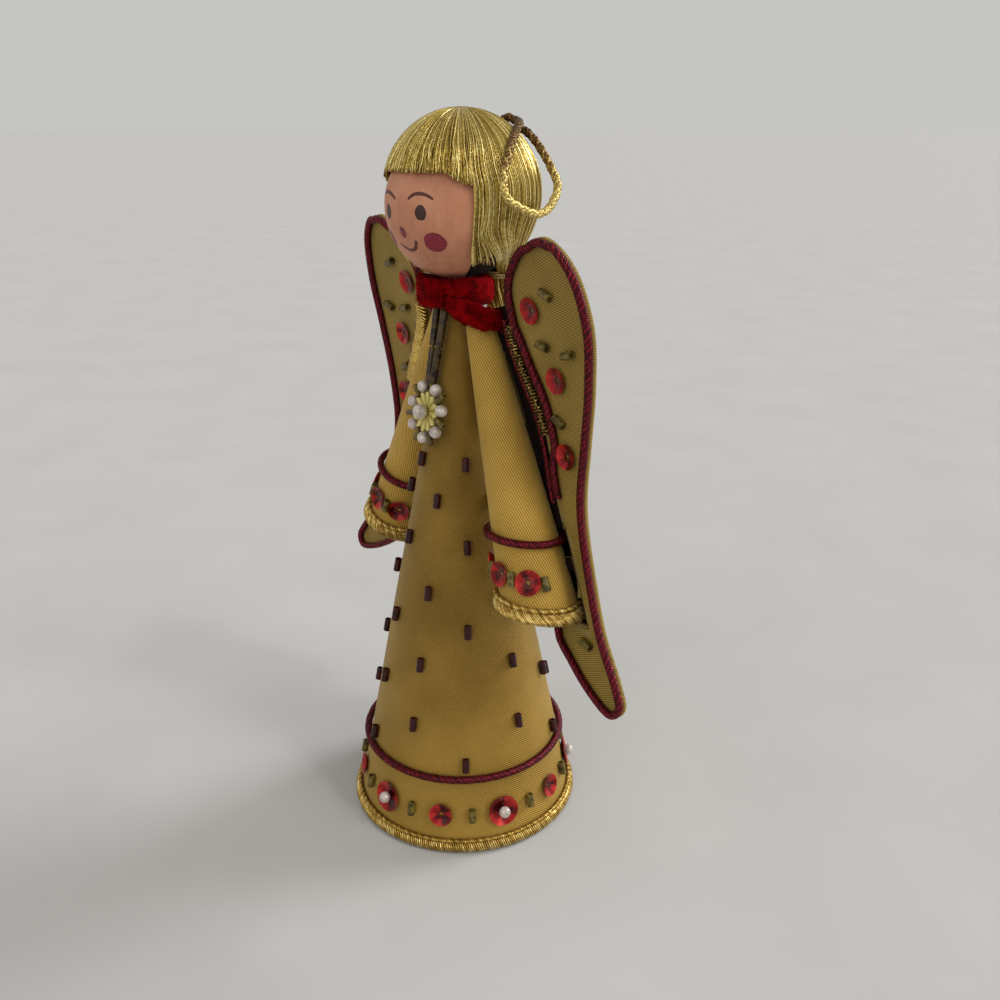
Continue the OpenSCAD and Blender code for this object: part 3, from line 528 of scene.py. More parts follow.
def hanging_loop():
    carriers, pitch, over_under, strand_sides = 4, 5.2, 0.1 * LOOP_R, 5
    strand_r, ring_r, core_r = 0.38 * LOOP_R, 0.6 * LOOP_R, 0.55 * LOOP_R
    shade_top, shade_drop = 174, 14
    path, length = even(through(LOOP_ROUTE, 12), 0.22)
    side, other = frames_along(path)
    turn = 2 * np.pi * np.linspace(0, length, len(path)) / pitch
    # Strands are painted darker on the loop's upper part and lighter lower down: painted shade above and
    # painted reflection below
    low = np.clip((shade_top - path[:, 2]) / shade_drop, 0, 1)
    form = Form()
    for way, lead in ((-1, 0), (1, 0.25)):
        for k in range(carriers):
            angle = (way * turn + 2 * np.pi * k / carriers + lead)[:, None]
            reach = (ring_r + way * over_under * np.cos(carriers * turn + np.pi * k))[:, None]
            tone = np.repeat(0.25 + 0.5 * low + 0.15 * (k % 2), strand_sides)
            off = reach * (np.cos(angle) * side + np.sin(angle) * other)
            form.tube(path + off, strand_r, strand_sides, tone=tone)
    # The core is painted dark, as shade between the strands
    form.tube(path, core_r, 6, tone=0.1)
    loop = form.piece("hanging_loop_braid", "figure", LOOP_CORD, ["hanging_loop"], "gold_cord")


hanging_loop()


# Cloth over the cone

def cone_at(z):
    return CONE_R * (1 - z / CONE_APEX)


def on_cone(angle, z, lift=0.0):
    """A point on the cone at an angle from its front, and the square to its side there."""
    out = polar(angle, 1.0)
    square = math.cos(SLANT) * out + math.sin(SLANT) * UP
    return cone_at(z) * out + z * UP + lift * square, square


def body_cover():
    """Cloth wrapped round the cone, with its lapped seam at the back."""
    cols, rows, lap, lap_lift, pucker, top = 172, 92, 7.0, 0.22, 0.05, CONE_TOP - 0.05
    angles, z = np.meshgrid(np.linspace(-180, 180 + lap, cols), np.linspace(CLOTH_FOOT, top, rows))
    a = np.radians(angles)
    lift = pucker * (np.sin(3 * a + z / 14) + 0.6 * np.sin(7 * a - z / 9)) - pucker
    lift += lap_lift * smooth_step(angles, 180 - lap, 180)
    layers = [polar(angles, cone_at(z) + lift - inset, z) for inset in (0, CLOTH_T)]
    weave = polar(angles * math.sin(SLANT), (CONE_APEX - z) / math.cos(SLANT))
    Form().shell(*layers, weave).piece(
        "body_twill", "figure", BODY_CLOTH, ["body_fabric_cover"], "gold_cloth")


def cone_ring(z, r, count=240):
    return polar(np.arange(count) * 360 / count, cone_at(z) + r / math.cos(SLANT) + GLUE, z)


def skirt_cords():
    path = cone_ring(SKIRT_CORD_Z, SKIRT_CORD_R)
    Form().rope(path, SKIRT_CORD_R, 7, 4.6, closed=True, tones=(0.3, 0.6)).piece(
        "skirt_red_cord", "figure", RED_CORD, ["skirt_cord"], "red_cord")
    z, r = HEM_CORD_Z + 0.5, 0.58 * HEM_CORD_R
    Form().rope(cone_ring(z, r), r, 3, 2.0, closed=True, tones=(0.2, 0.35, 0.5)).piece(
        "hem_gold_cord", "figure", GOLD_CORD, ["hem_cord"], "gold_cord")


def looped_fringe(place, turns, high, low, lean, draw):
    """Thread wound in slanting loops round a ring; place gives a point for an angle, a height and a lift."""
    per_turn, near, far, wire_r, wire_sides, uneven = 9, 0.3, 1.1, 0.24, 4, 0.12
    count = turns * per_turn
    drops = np.append(draw.uniform(-uneven, uneven, turns), 0)
    drop = np.interp(np.arange(count) / per_turn, np.arange(turns + 1), drops)
    path = []
    for i in range(count):
        wave = 2 * math.pi * i / per_turn
        share = 0.5 - 0.5 * math.cos(wave)
        bow = 0.25 * math.sin(math.pi * share) + 0.35 * share
        lift = near + (far - near) * (0.5 + 0.5 * math.sin(wave)) * (0.75 + 0.25 * share) + bow
        path.append(place(360 * i / count + lean * share, high + (low + drop[i] - high) * share, lift))
    tones = np.repeat(draw.uniform(0.4, 0.8, turns), per_turn * wire_sides)
    form = Form().tube(path, wire_r, wire_sides, closed=True, tone=tones)
    # Two dark cores behind the loops: painted shade between the threads
    for share, lift, core_r, tone in ((0.5, 0.6, 0.62, 0.1), (0.85, 0.75, 0.42, 0.2)):
        core = [place(angle, high + share * (low - high), lift) for angle in range(0, 360, 3)]
        form.tube(core, core_r, closed=True, tone=tone)
    return form


def hem_threads():
    """Looped thread under the hem's cord."""
    turns, high, low, lean = 330, 2.75, 0.5, 1.2
    draw = np.random.default_rng(11)
    form = looped_fringe(lambda a, z, lift: on_cone(a, z, lift)[0], turns, high, low, lean, draw)
    form.piece("hem_thread_loops", "figure", GOLD_CORD, ["hem_fringe"], "gold_cord")


body_cover()
skirt_cords()
hem_threads()


# Sleeves

def sleeve_way(side):
    s, f = SLEEVE_SPREAD, SLEEVE_FORWARD
    return np.array([side * math.sin(s) * math.cos(f), -math.sin(f), -math.cos(s) * math.cos(f)])


def sleeve_round(side, angle):
    """The direction out of a sleeve's axis, at an angle in degrees from its upper outer side to its rear."""
    across = np.array([math.cos(SLEEVE_SPREAD), 0, side * math.sin(SLEEVE_SPREAD)])
    rear = np.cross(across, sleeve_way(side))
    a = math.radians(angle)
    return math.cos(a) * across + math.sin(a) * rear


def sleeve_start(side):
    return SHOULDER * (side, 1, 1)


def sleeve_at(t):
    return SLEEVE_TIP_R + t * math.tan(SLEEVE_SLANT)


def cuff_up(side):
    dip, rise = CUFF_DIP[side], CUFF_RISE[side]
    return np.array([-side * math.sin(rise) * math.cos(dip), math.sin(dip), math.cos(rise) * math.cos(dip)])


def level_at(side, up, angle):
    """How far down the sleeve a line level with its cuff lies, at an angle round it."""
    fall, lean = cuff_up(side) @ sleeve_way(side), cuff_up(side) @ sleeve_round(side, angle)
    return ((SLEEVE_LEN[side] - up) * fall - SLEEVE_TIP_R * lean) / (fall + math.tan(SLEEVE_SLANT) * lean)


def down_sleeve(side, t, angle, lift=0.0):
    radial = sleeve_round(side, angle)
    square = math.cos(SLEEVE_SLANT) * radial - math.sin(SLEEVE_SLANT) * sleeve_way(side)
    return sleeve_start(side) + t * sleeve_way(side) + sleeve_at(t) * radial + lift * square, square


def on_level(side, up, angle, lift=0.0):
    return down_sleeve(side, level_at(side, up, angle), angle, lift)


def sleeve_cover(side):
    """Cloth round a sleeve: a rounded top and a tapered side down to the cuff, seam at the rear."""
    dome_rows, rows, pucker, foot = 9, 46, 0.05, 0.02
    rounds = np.linspace(0, 360, 97)
    layers = []
    for inset in (0, CLOTH_T):
        grid, weave = [], []
        for k in range(dome_rows):
            lean = math.radians(90 * (k + 0.15) / dome_rows)
            for turn in rounds:
                out = sleeve_round(side, SLEEVE_REAR + turn)
                way = math.sin(lean) * out - math.cos(lean) * sleeve_way(side)
                grid.append(sleeve_start(side) + (SLEEVE_TIP_R - inset) * way)
                weave.append((SLEEVE_TIP_R * math.radians(turn), SLEEVE_TIP_R * (1 - k / dome_rows), 0))
        for share in np.linspace(0, 1, rows):
            for turn in rounds:
                angle = SLEEVE_REAR + turn
                t = level_at(side, foot, angle) * share
                lift = pucker * (math.sin(3 * math.radians(angle) + t / 9) - 1) * min(1, t / 8)
                grid.append(down_sleeve(side, t, angle, lift - inset)[0])
                weave.append((sleeve_at(t) * math.radians(turn), -t, 0))
        layers.append(np.reshape(grid, (-1, len(rounds), 3)))
    name = f"sleeve_{SIDE_NAME[side]}"
    Form().shell(*layers, weave).piece(f"{name}_twill", name, SLEEVE_CLOTH, [f"{name}_fabric"], "gold_cloth")


def sleeve_trim(side):
    """Red cord, gold cuff cord and the slanting threads under it."""
    name = f"sleeve_{SIDE_NAME[side]}"

    def ring(up, r):
        return np.array([on_level(side, up, angle, r + GLUE)[0] for angle in range(0, 360, 3)])

    path = ring(SLEEVE_CORD_UP, EDGE_CORD_R)
    Form().rope(path, EDGE_CORD_R, 7, 4.4, True, cuff_up(side), (0.3, 0.65)).piece(
        f"{name}_red_cord", name, RED_CORD, [f"{name}_cord"], "red_cord")
    r = 0.6 * HEM_CORD_R
    Form().rope(ring(CUFF_CORD_UP + 0.5, r), r, 3, 2.2, True, cuff_up(side), (0.3, 0.5, 0.7)).piece(
        f"{name}_gold_cuff_cord", name, GOLD_CORD, [f"{name}_cuff_cord"], "gold_cord")
    turns, high, low, lean = 118, 1.2, -CUFF_DROP + 0.35, 9
    draw = np.random.default_rng(20 + side)
    form = looped_fringe(lambda a, up, lift: on_level(side, up, a, lift)[0], turns, high, low, lean, draw)
    form.piece(f"{name}_cuff_loops", name, GOLD_CORD, [f"{name}_cuff_fringe"], "gold_cord")


for side in (1, -1):
    sleeve_cover(side)
    sleeve_trim(side)


# Wings

def on_bow(x, rise, lift):
    """A point on the left wing's bowed face."""
    sway = math.asin((CONE_TOP + rise - BOW_Z) / BOW_R)
    reach = BOW_R - lift
    return np.array([x, WING_SET - BOW_R + reach * math.cos(sway), BOW_Z + reach * math.sin(sway)])


def on_wing(side, x, rise, lift):
    """A point on either wing's face, and the square to it there."""
    sway = math.asin((CONE_TOP + rise - BOW_Z) / BOW_R)
    return on_bow(x, rise, lift) * (side, 1, 1), np.array([0, -math.cos(sway), -math.sin(sway)])


def beside_edge(u, inset):
    """A point beside the wing's outline."""
    p, q = ring_point(WING_OUTLINE, u)[:2], ring_point(WING_OUTLINE, u + 0.02)[:2]
    way = unit(q - p)
    return p + inset * np.array([way[1], -way[0]])


def sleeve_room(side):
    """The space that a sleeve and its cords need, as a mesh that cuts a wing."""
    cols, cord_room, step = 72, 2 * HEM_CORD_R + CLEAR, 0.01
    stops = [(SLEEVE_LEN[side] - 4, CLEAR)]
    for up in (SLEEVE_CORD_UP, CUFF_CORD_UP):
        high, low = up + 2 * HEM_CORD_R, up - 2 * HEM_CORD_R - CUFF_DROP
        stops += [(high, CLEAR), (high - step, cord_room), (low, cord_room), (low - step, CLEAR)]
    stops.pop()
    grid = [[on_level(side, up, 360 * j / cols, lift)[0] for j in range(cols)] for up, lift in stops]
    return new_object("room", new_mesh("room", grid, capped_faces(len(stops), cols)))


def cut_by(piece, cutter):
    """Takes the cutter's space out of a piece and drops the cutter."""
    modifier = piece.modifiers.new("cut", "BOOLEAN")
    modifier.operation, modifier.object, modifier.solver = "DIFFERENCE", cutter, "EXACT"
    ready = piece.evaluated_get(bpy.context.evaluated_depsgraph_get())
    mesh = bpy.data.meshes.new_from_object(ready)
    piece.modifiers.clear()
    piece.data = mesh
    mesh.polygons.foreach_set("material_index", np.zeros(len(mesh.polygons), dtype=np.int32))
    while len(mesh.materials) > 1:
        mesh.materials.pop()
    bpy.data.objects.remove(cutter)


def flat_shell(rim, spacing, front, back, bulge):
    """Points, faces and cloth places of a thin curved sheet inside a closed outline; bulge rounds its edge."""
    ahead, behind = np.roll(rim, -1, 0), np.roll(rim, 1, 0)

    def to_rim(p):
        return np.linalg.norm(rim - p, axis=1).min()

    inside = []
    for x in np.arange(rim[:, 0].min(), rim[:, 0].max(), spacing):
        for rise in np.arange(rim[:, 1].min(), rim[:, 1].max(), spacing):
            crosses = (rim[:, 1] > rise) != (ahead[:, 1] > rise)
            climb = np.where(crosses, ahead[:, 1] - rim[:, 1], 1)
            at = rim[:, 0] + (rise - rim[:, 1]) * (ahead[:, 0] - rim[:, 0]) / climb
            if np.sum(crosses & (x < at)) % 2 and to_rim((x, rise)) > 0.45 * spacing:
                inside.append((x, rise))
    loop = [(i, (i + 1) % len(rim)) for i in range(len(rim))]
    spots, _, faces, *_ = geometry.delaunay_2d_cdt([Vector(p) for p in (*rim, *inside)], loop, [], 1, 1e-5)
    spots, n = np.array(spots), len(spots)
    swell = []
    for p in spots:
        wave = math.sin(p[0] / 4.1 + p[1] / 7.3) + math.sin(p[1] / 5.2)
        swell.append(0.04 * min(1.0, to_rim(p) / 4) * wave)
    edge_out = unit(np.stack([ahead[:, 1] - behind[:, 1], behind[:, 0] - ahead[:, 0]], 1))
    turns_left = np.sum(rim[:, 0] * ahead[:, 1] - ahead[:, 0] * rim[:, 1]) > 0
    middle = rim + bulge * edge_out * (1 if turns_left else -1)
    points = [on_bow(*p, lift + s) for lift in (front, back) for p, s in zip(spots, swell)]
    points += [on_bow(*p, (front + back) / 2) for p in middle]
    shell = list(faces) + [tuple(n + i for i in face[::-1]) for face in faces]
    for a, b in loop:
        shell += [(a, b, 2 * n + b, 2 * n + a), (2 * n + a, 2 * n + b, n + b, n + a)]
    return np.array(points), shell, [(*p, 0) for p in (*spots, *spots, *middle)]


def wing_sheet(side, part, material, slot, rim, *sheet, replaces=()):
    """A sheet on a wing with the sleeve's space cut out."""
    points, faces, weave = flat_shell(np.array(rim), *sheet)
    form = Form().add(points * (side, 1, 1), faces, weave)
    sheet_piece = form.piece(f"wing_{SIDE_NAME[side]}_{part}", "figure", material, replaces, slot)
    cut_by(sheet_piece, sleeve_room(side))


def wing_cover(side):
    """Cloth on both faces of a wing, turned over its edge."""
    steps, edge, lift = 8, 0.12, 0.02
    rim = [beside_edge(i / steps, -edge) for i in range(len(WING_OUTLINE) * steps)]
    nodes = [f"wing_{SIDE_NAME[side]}_{face}_fabric" for face in ("front", "back")]
    wing_sheet(side, "twill", WING_CLOTH, "wing_cloth", rim, 2.4, lift, -WING_T - lift, 0.1, replaces=nodes)


def wing_root(side):
    """The strip that runs in behind the sleeve: near-black painted shade in front and wing cloth at the back.
    """
    rim = []
    for share in np.linspace(*ROOT_SHARES, ROOT_STEPS + 1):
        p = sleeve_start(side) + share * SLEEVE_LEN[side] * sleeve_way(side)
        rim.append((side * p[0] + ROOT_IN, p[2] - CONE_TOP))
    rim += [ring_point(WING_OUTLINE, u)[:2] + (0.3, 0) for u in np.linspace(*ROOT_SPAN, ROOT_STEPS + 1)]
    # The strip's front is painted shade, dark like the shadow between sleeve and wing
    wing_sheet(side, "root_painted_shade", PAINTED_SHADE, "dark_thread", rim, 1.8, -0.05, -0.4, 0.0)
    wing_sheet(side, "root_back", WING_CLOTH, "wing_cloth", rim, 1.8, -0.42, -WING_T + 0.03, 0.0)


def nest_half(side, up, lift, way, front):
    """How far round a sleeve from its rear, one way or the other, the hollow meets the wing's face."""
    near, far = 8.0, 120.0
    for _ in range(24):
        half = (near + far) / 2
        spot = on_level(side, up, SLEEVE_REAR + way * half, lift)[0]
        inside = spot[1] > on_bow(0, spot[2] - CONE_TOP, front)[1]
        near, far = (half, far) if inside else (near, half)
    return half


def sleeve_nest(side):
    """The hollow in a wing that a sleeve lies in: near-black painted shade inside, its edge just in front of
    the wing's face as a dark line of painted shadow, and wing cloth at the back.
    """
    rows, cols, ease, cloth_r = 70, 25, 0.05, sleeve_at(40)
    ups = np.linspace(SLEEVE_LEN[side] - 2, -CUFF_DROP - 1.4, rows)
    wide = np.clip((SLEEVE_CORD_UP + 7 - ups) / 4, 0, 1)
    lifts = CLEAR + ease + wide * (2 * HEM_CORD_R + ease)
    # The inner sheet is painted shade; its front edge sits just in front of the wing's face as a line of
    # painted shadow
    for part, material, slot, low, high, front in (("nest_painted_shade", PAINTED_SHADE, "dark_thread", 0.0, 0.15, 0.12),
                                                   ("nest_back", WING_CLOTH, "wing_cloth", 0.17, 0.5, -0.45)):
        layers, weaves = [], []
        for thick in (high, low):
            grid, weave = [], []
            for up, lift in zip(np.append(ups[:-1], ups[-1] - thick), lifts):
                ends = [SLEEVE_REAR + way * nest_half(side, up, lift + thick, way, front) for way in (-1, 1)]
                turns = np.linspace(*ends, cols)
                grid.append([on_level(side, up, turn, lift + thick)[0] for turn in turns])
                weave.append([(cloth_r * math.radians(turn), up, 0) for turn in turns])
            last = np.array(grid[-1])
            for share in (0.2, 0.4, 0.6, 0.8, 1.0):
                grid.append(last + share * (last[0, 1] - last[:, 1:2]) * (0, 1, 0))
                weave.append(np.array(weave[rows - 1]) - (0, 3 * share, 0))
            layers.append(np.array(grid))
            weaves.append(np.array(weave))
        name = f"wing_{SIDE_NAME[side]}_{part}"
        Form().shell(*layers, weaves[0]).piece(name, "figure", material, slot=slot)


def wing_trim(side):
    """Red cord round the edge, a thinner one beside it at the root, and the gold bullion there."""
    name, mirror = f"wing_{SIDE_NAME[side]}", (side, 1, 1)

    def run(us, inset, lift):
        return [on_bow(*beside_edge(u, inset), lift) for u in us]

    (first, last), steps, lead_in, lead_gap = EDGE_CORD_SPAN, 8, 1.7, 0.4
    lift, far_in, near_in, move_out, sink = EDGE_CORD_R + GLUE, 2.4, 1.2, 0.75, 0.2
    path = run(np.arange(LEFT_CORD_START, first - lead_gap, 1 / steps), lead_in, lift) if side > 0 else []
    for u in np.linspace(first, last, (last - first) * steps + 1):
        inset = ring_point(WING_OUTLINE, u)[2]
        near = min(1.0, max(0.0, (far_in - inset) / (far_in - near_in)))
        path += run([u], inset - move_out * near * (inset > 0.6), lift - sink * near)
    ahead = unit(path[-1] - path[-2])
    path += [path[-1] + k * ahead for k in (0.8, 1.6, 2.4)]
    Form().rope(np.array(path) * mirror, EDGE_CORD_R, 7, 4.4, facing=FRONT, tones=(0.3, 0.65)).piece(
        f"{name}_red_cord", "figure", RED_CORD, [f"{name}_edge_cord"], "red_cord")

    first, last = BRAID_SPAN
    path = np.array(run(np.linspace(first, last, 40), BRAID_INSET[side], BRAID_R + GLUE)) * mirror
    path, length = even(path, 0.07)
    outward, across = frames_along(path, facing=FRONT)
    pitch, wire_r, core_r, half_wide, half_high = 0.78, 0.25, 0.55, 1.2 if side > 0 else 2.2, 0.72
    turn = 2 * np.pi * np.linspace(0, length / pitch, len(path))[:, None]
    wander = 0.16 * np.sin(turn / 5.3) + 0.1 * np.sin(turn / 2.3)
    coil = path + (half_wide * np.cos(turn) + wander) * across + half_high * np.sin(turn) * outward
    # The core inside the coil is painted dark, as shade inside it
    Form().tube(coil, wire_r, 5, tone=0.75).tube(path[::12], core_r, tone=0.1, facing=FRONT).piece(
        f"{name}_bullion", "figure", BULLION[side], [f"{name}_gold_braid"], "gold_cord")

    path = run(np.linspace(first - 1.6, last + 0.1, 60), -0.9, ROOT_CORD_R + GLUE)
    Form().rope(np.array(path) * mirror, ROOT_CORD_R, 5, 2.6, facing=FRONT, tones=(0.3, 0.75)).piece(
        f"{name}_root_cord", "figure", RED_CORD, slot="red_cord")


for side in (1, -1):
    wing_cover(side)
    wing_root(side)
    sleeve_nest(side)
    wing_trim(side)


# Sequins: faceted cups

def add_sequin(form, spot, square, size, spin, shades):
    """A cup with a hole in it; each facet gets its own painted reflection, and the film is painted darker at
    the hole and lighter at the rim.
    """
    per_facet, vary = 4, 0.55
    cols, facet = len(shades) * per_facet, 2 * np.pi / len(shades)
    first = unit(np.cross(square, UP if abs(square[2]) < STEEP else FRONT))
    second = np.cross(square, first)
    turn = np.arange(cols) * 2 * np.pi / cols
    polygon = math.cos(facet / 2) / np.cos(turn % facet - facet / 2)
    around = np.cos(turn + spin)[:, None] * first + np.sin(turn + spin)[:, None] * second
    shade = vary * np.repeat(shades, per_facet)
    # Tones rise from the hole to the rim, with a random shift on each facet: painted reflection of the cup
    rows = [(SEQUIN_HOLE, 0, 0.1 + 0 * shade), (0.25 * size * polygon, 0, 0.45 + shade),
            (0.5 * size, SEQUIN_CUP, 0.8 + shade)]
    grid, tones = [], []
    for lift, order in ((SEQUIN_T, rows), (0, rows[::-1])):
        for reach, height, tone in order:
            grid.append(spot + np.broadcast_to(reach, cols)[:, None] * around + (height + lift) * square)
            tones.append(tone)
    form.add(grid, grid_faces(len(grid), cols, wrap_rows=True, wrap_cols=True), tone=tones)


def sequins(name, node, body, places):
    draw = np.random.default_rng(len(name))
    form = Form()
    for spot, square, size in places:
        add_sequin(form, spot, square, size, draw.uniform(0, 1), draw.uniform(-1, 0.3, 10))
    form.piece(name, body, SEQUIN, [node], "sequin", smooth=False)


sequins("hem_large_cups", "hem_sequins_large", "figure",
        [(*on_cone(HEM_FIRST + HEM_STEP * 2 * i, HEM_ROW_Z, GLUE), SEQUIN_LARGE) for i in range(-2, 4)])
sequins("hem_small_cups", "hem_sequins_small", "figure",
        [(*on_cone(HEM_FIRST + HEM_STEP * (2 * i + 1), HEM_ROW_Z, GLUE), SEQUIN_SMALL) for i in range(-2, 3)])
for side in (1, -1):
    sleeve, wing = f"sleeve_{SIDE_NAME[side]}", f"wing_{SIDE_NAME[side]}"
    angles = [side * SLEEVE_ROW_ANGLE * k - SLEEVE_REAR for k in (-2, 0, 2)]
    sequins(f"{sleeve}_cups", f"{sleeve}_sequins", sleeve,
            [(*on_level(side, SLEEVE_ROW_UP, angle, GLUE), SEQUIN_SMALL) for angle in angles])
    sequins(f"{wing}_cups", f"{wing}_sequins", "figure",
            [(*on_wing(side, x, rise, 2 * GLUE), SEQUIN_SMALL) for x, rise in WING_SEQUINS])


# Face: paint on the ball

def on_head(azimuth, elevation, lift=0.0):
    """A point on the ball, and the direction out of it there."""
    e = math.radians(elevation)
    out = polar(azimuth, math.cos(e), math.sin(e))
    return HEAD + (HEAD_R + lift) * out, out


def paint_point(out, off, share, thick=0.05, sunk=0.01):
    """A point of paint beside a place on the ball; the paint thins out as share goes to 1."""
    return HEAD + (HEAD_R + thick * (1 - share**4) - sunk) * unit(out + off / HEAD_R)


def painted_spot(name, azimuth, elevation, wide, high, lean, material):
    """An oval of paint, thicker at its middle."""
    rings, cols = 6, 40
    out = on_head(azimuth, elevation)[1]
    across = unit(np.cross(UP, out))
    rise = np.cross(out, across)
    c, s = math.cos(math.radians(lean)), math.sin(math.radians(lean))
    grid = []
    for share in (np.arange(rings) + 0.02) / (rings - 1):
        for turn in np.arange(cols) * 2 * math.pi / cols:
            half = share * (1 + 0.025 * math.sin(3 * turn + azimuth) + 0.015 * math.sin(5 * turn)) / 2
            u, v = half * wide * math.cos(turn), half * high * math.sin(turn)
            grid.append(paint_point(out, (u * c - v * s) * across + (u * s + v * c) * rise, share))
    faces = grid_faces(rings, cols, wrap_cols=True) + [tuple(range(cols))]
    Form().add(grid, faces).piece(name, "figure", material)


def painted_line(name, stops, wide, material, ends):
    """A brush line through points on the ball, narrower towards its ends."""
    line = through(stops, 10)
    count, across_count = len(line), 5
    grid = []
    for i, spot in enumerate(line):
        here, out = on_head(*spot)
        ahead = line[min(i + 1, count - 1)] - line[max(i - 1, 0)]
        across = unit(np.cross(out, unit(on_head(*(spot + 0.01 * ahead))[0] - here)))
        share = i / (count - 1)
        middle = 0 < share < 1
        full = math.sin(math.pi * share) ** 0.5 if middle else 0
        taper = ends[0] * (1 - share) + ends[1] * share
        half = wide / 2 * (taper * (1 - full) + full) * (1 if middle else 0.55)
        for v in np.linspace(-1, 1, across_count):
            grid.append(paint_point(out, v * half * across, v, 0.04))
    Form().add(grid, grid_faces(count, across_count)).piece(name, "figure", material)


painted_spot("face_eye_left", 29, -1, 2.9, 3.4, 0, BROWN_PAINT)
painted_spot("face_eye_right", -10, -2, 2.9, 3.4, 0, BROWN_PAINT)
painted_spot("face_nose", 8, -17, 2.1, 2.8, 16, NOSE_PAINT)
painted_spot("face_cheek_left", 39, -24, 5.6, 4.9, -12, PLUM_PAINT)
painted_spot("face_cheek_right", -21, -24, 5.6, 4.9, 12, PLUM_PAINT)
painted_line("face_smile", [(-3, -26.5), (3, -30.5), (10, -32.5), (17, -30), (21, -23)],
             0.95, BROW_PAINT, (0.25, 0.7))
painted_line("face_brow_left", [(17, 8.5), (22, 12), (28, 13), (34, 12), (40, 9)],
             0.85, BROW_PAINT, (0.5, 0.35))
painted_line("face_brow_right", [(-28, 9), (-19, 12.5), (-10, 12.5), (-4, 11), (2, 8)],
             0.85, BROW_PAINT, (0.35, 0.5))


# Hair: metal threads from the crown to the fringe, the side locks and the tie

CAP_R, CAP, LOCK_R = 17.9, np.array([0, 2.2, 160.588]), 16.75
BANG_Z, FACE_EDGE, LOCK_Z, LOCK_WIDE, HANG_Z = 165.8, 7.5, 146.4, 9.0, 152.0
FALL, FALL_R = np.array([0, 6.5, 150.988]), 13.8
TIE, TIE_WIDE, TIE_DEEP, TIE_R = np.array([1.6, 11.3, 142.0]), 5.0, 2.6, 3.4
TAIL_END, TAIL_WIDE, TAIL_DEEP = np.array([2.9, 12.2, 130.8]), 2.5, 2.0
FAR_R, FAR_LOW, FAR_HIGH = 17.8, 152, 158


def round_up(centre, wide, deep, azimuth, z=0.0):
    """A point on an oval round a centre."""
    return centre + polar(azimuth, 1.0, z) * (wide, deep, 1)


def ball_reach(azimuth, radius, back):
    """How far out from the head's axis a ring lies whose middle is further back, or 0 where it isn't met."""
    a = math.radians(azimuth)
    past = back * math.sin(a)
    return -back * math.cos(a) + math.sqrt(radius**2 - past**2) if radius > abs(past) else 0.0


def hair_reach(azimuth, z):
    """How far the hair stands out from the head's axis at an angle from the front and a height."""
    rings = [(math.sqrt(max(0.0, radius**2 - (z - middle) ** 2)), back)
             for radius, back, middle in ((CAP_R, CAP[1], CAP[2]), (LOCK_R, 0.0, HEAD_Z))]
    if z < CAP[2]:
        share = min(1.0, (z - TIE[2]) / (FALL[2] - TIE[2]))
        rings.append((TIE_R + (FALL_R - TIE_R) * share, TIE[1] + (FALL[1] - TIE[1]) * share))
    return max(0.0, *(ball_reach(azimuth, *ring) for ring in rings))


def face_edge(z):
    """The angle where the hair ends beside the face."""
    return math.degrees(math.acos(min(1.0, FACE_EDGE / hair_reach(62, max(z, HANG_Z)))))


def on_hair(azimuth, z, lift):
    """A point on the hair's outside; on the near side it hangs straight from where the ball turns under."""
    if azimuth > 0:
        reach = hair_reach(azimuth, max(z, HANG_Z)) - 0.12 * max(0.0, HANG_Z - z)
    else:
        proud = FAR_R - smooth_step(z, FAR_LOW, FAR_HIGH)
        reach = max(hair_reach(azimuth, z), math.sqrt(max(0.0, proud**2 - (z - HEAD_Z) ** 2)))
    return polar(azimuth, reach + lift, z)


def turned(points):
    """Turned with the head."""
    c, s = math.cos(math.radians(HEAD_TURN)), math.sin(math.radians(HEAD_TURN))
    return np.asarray(points) @ np.array([[c, s, 0], [-s, c, 0], [0, 0, 1]])


def hair_path(azimuth, lift, cut=0.0):
    """A thread's way from the crown; azimuth is from the front, and cut moves a free end up or down."""
    way, side = abs(azimuth), 1 if azimuth >= 0 else -1
    leans = np.radians((0.7, 13, 26, 40, 54))
    off_crown = math.asin(CAP[1] * math.sin(math.radians(azimuth)) / (CAP_R * math.sin(leans[-1])))
    crown = polar(azimuth - math.degrees(off_crown), np.sin(leans), np.cos(leans))
    path = list(CAP + (CAP_R + lift) * crown)
    corner = face_edge(BANG_Z - 3)
    if way < corner:
        low = BANG_Z - 2.6 * smooth_step(way, 38, corner) + cut
        return path + [on_hair(azimuth, z, lift) for z in np.linspace(path[-1][2] - 1.5, low, 3)]
    back = (way - corner) / (180 - corner)

    def beside_face(z):
        return on_hair(side * (face_edge(z) + back * (180 - face_edge(z))), z, lift)

    path += [beside_face(z) for z in (167, 163, 158, 153)]
    behind = max(0.0, (way - corner - LOCK_WIDE) / (180 - corner - LOCK_WIDE))
    round_tie = side * (35 + 145 * behind)
    above = round_up(TIE, TIE_WIDE * 1.15, TIE_DEEP * 1.15, round_tie, 1.0 + 1.5 * behind)
    early = path[-2] + 0.36 * (above - path[-2])
    path[-1] = path[-1] + 0.45 * smooth_step(behind, 0, 0.12) * (early - path[-1])
    slant = [path[-1] + share * (above - path[-1]) for share in (0.33, 0.66)]
    if way < corner + LOCK_WIDE:
        lean = (way - corner) / LOCK_WIDE
        for z, past in zip((150, LOCK_Z + cut - (0 if side > 0 else 2.4)), slant):
            hang = beside_face(z)
            path.append(hang + lean**1.5 * (np.array([past[0], past[1], z]) - hang))
        return path
    return path + slant + [above, round_up(TIE, TIE_WIDE, TIE_DEEP, round_tie)]


def clear_of_head(points, room):
    """Keeps points outside the ball."""
    off = points - HEAD
    apart = np.linalg.norm(off, axis=-1, keepdims=True)
    return HEAD + off * np.maximum(1, (HEAD_R + room) / apart)


def head_shell(form, rows, thin, tone=0.5):
    """A grid of points round the head, made a little thick."""
    outer = turned(rows)
    return form.shell(outer, HEAD + (outer - HEAD) * thin, tone=tone)


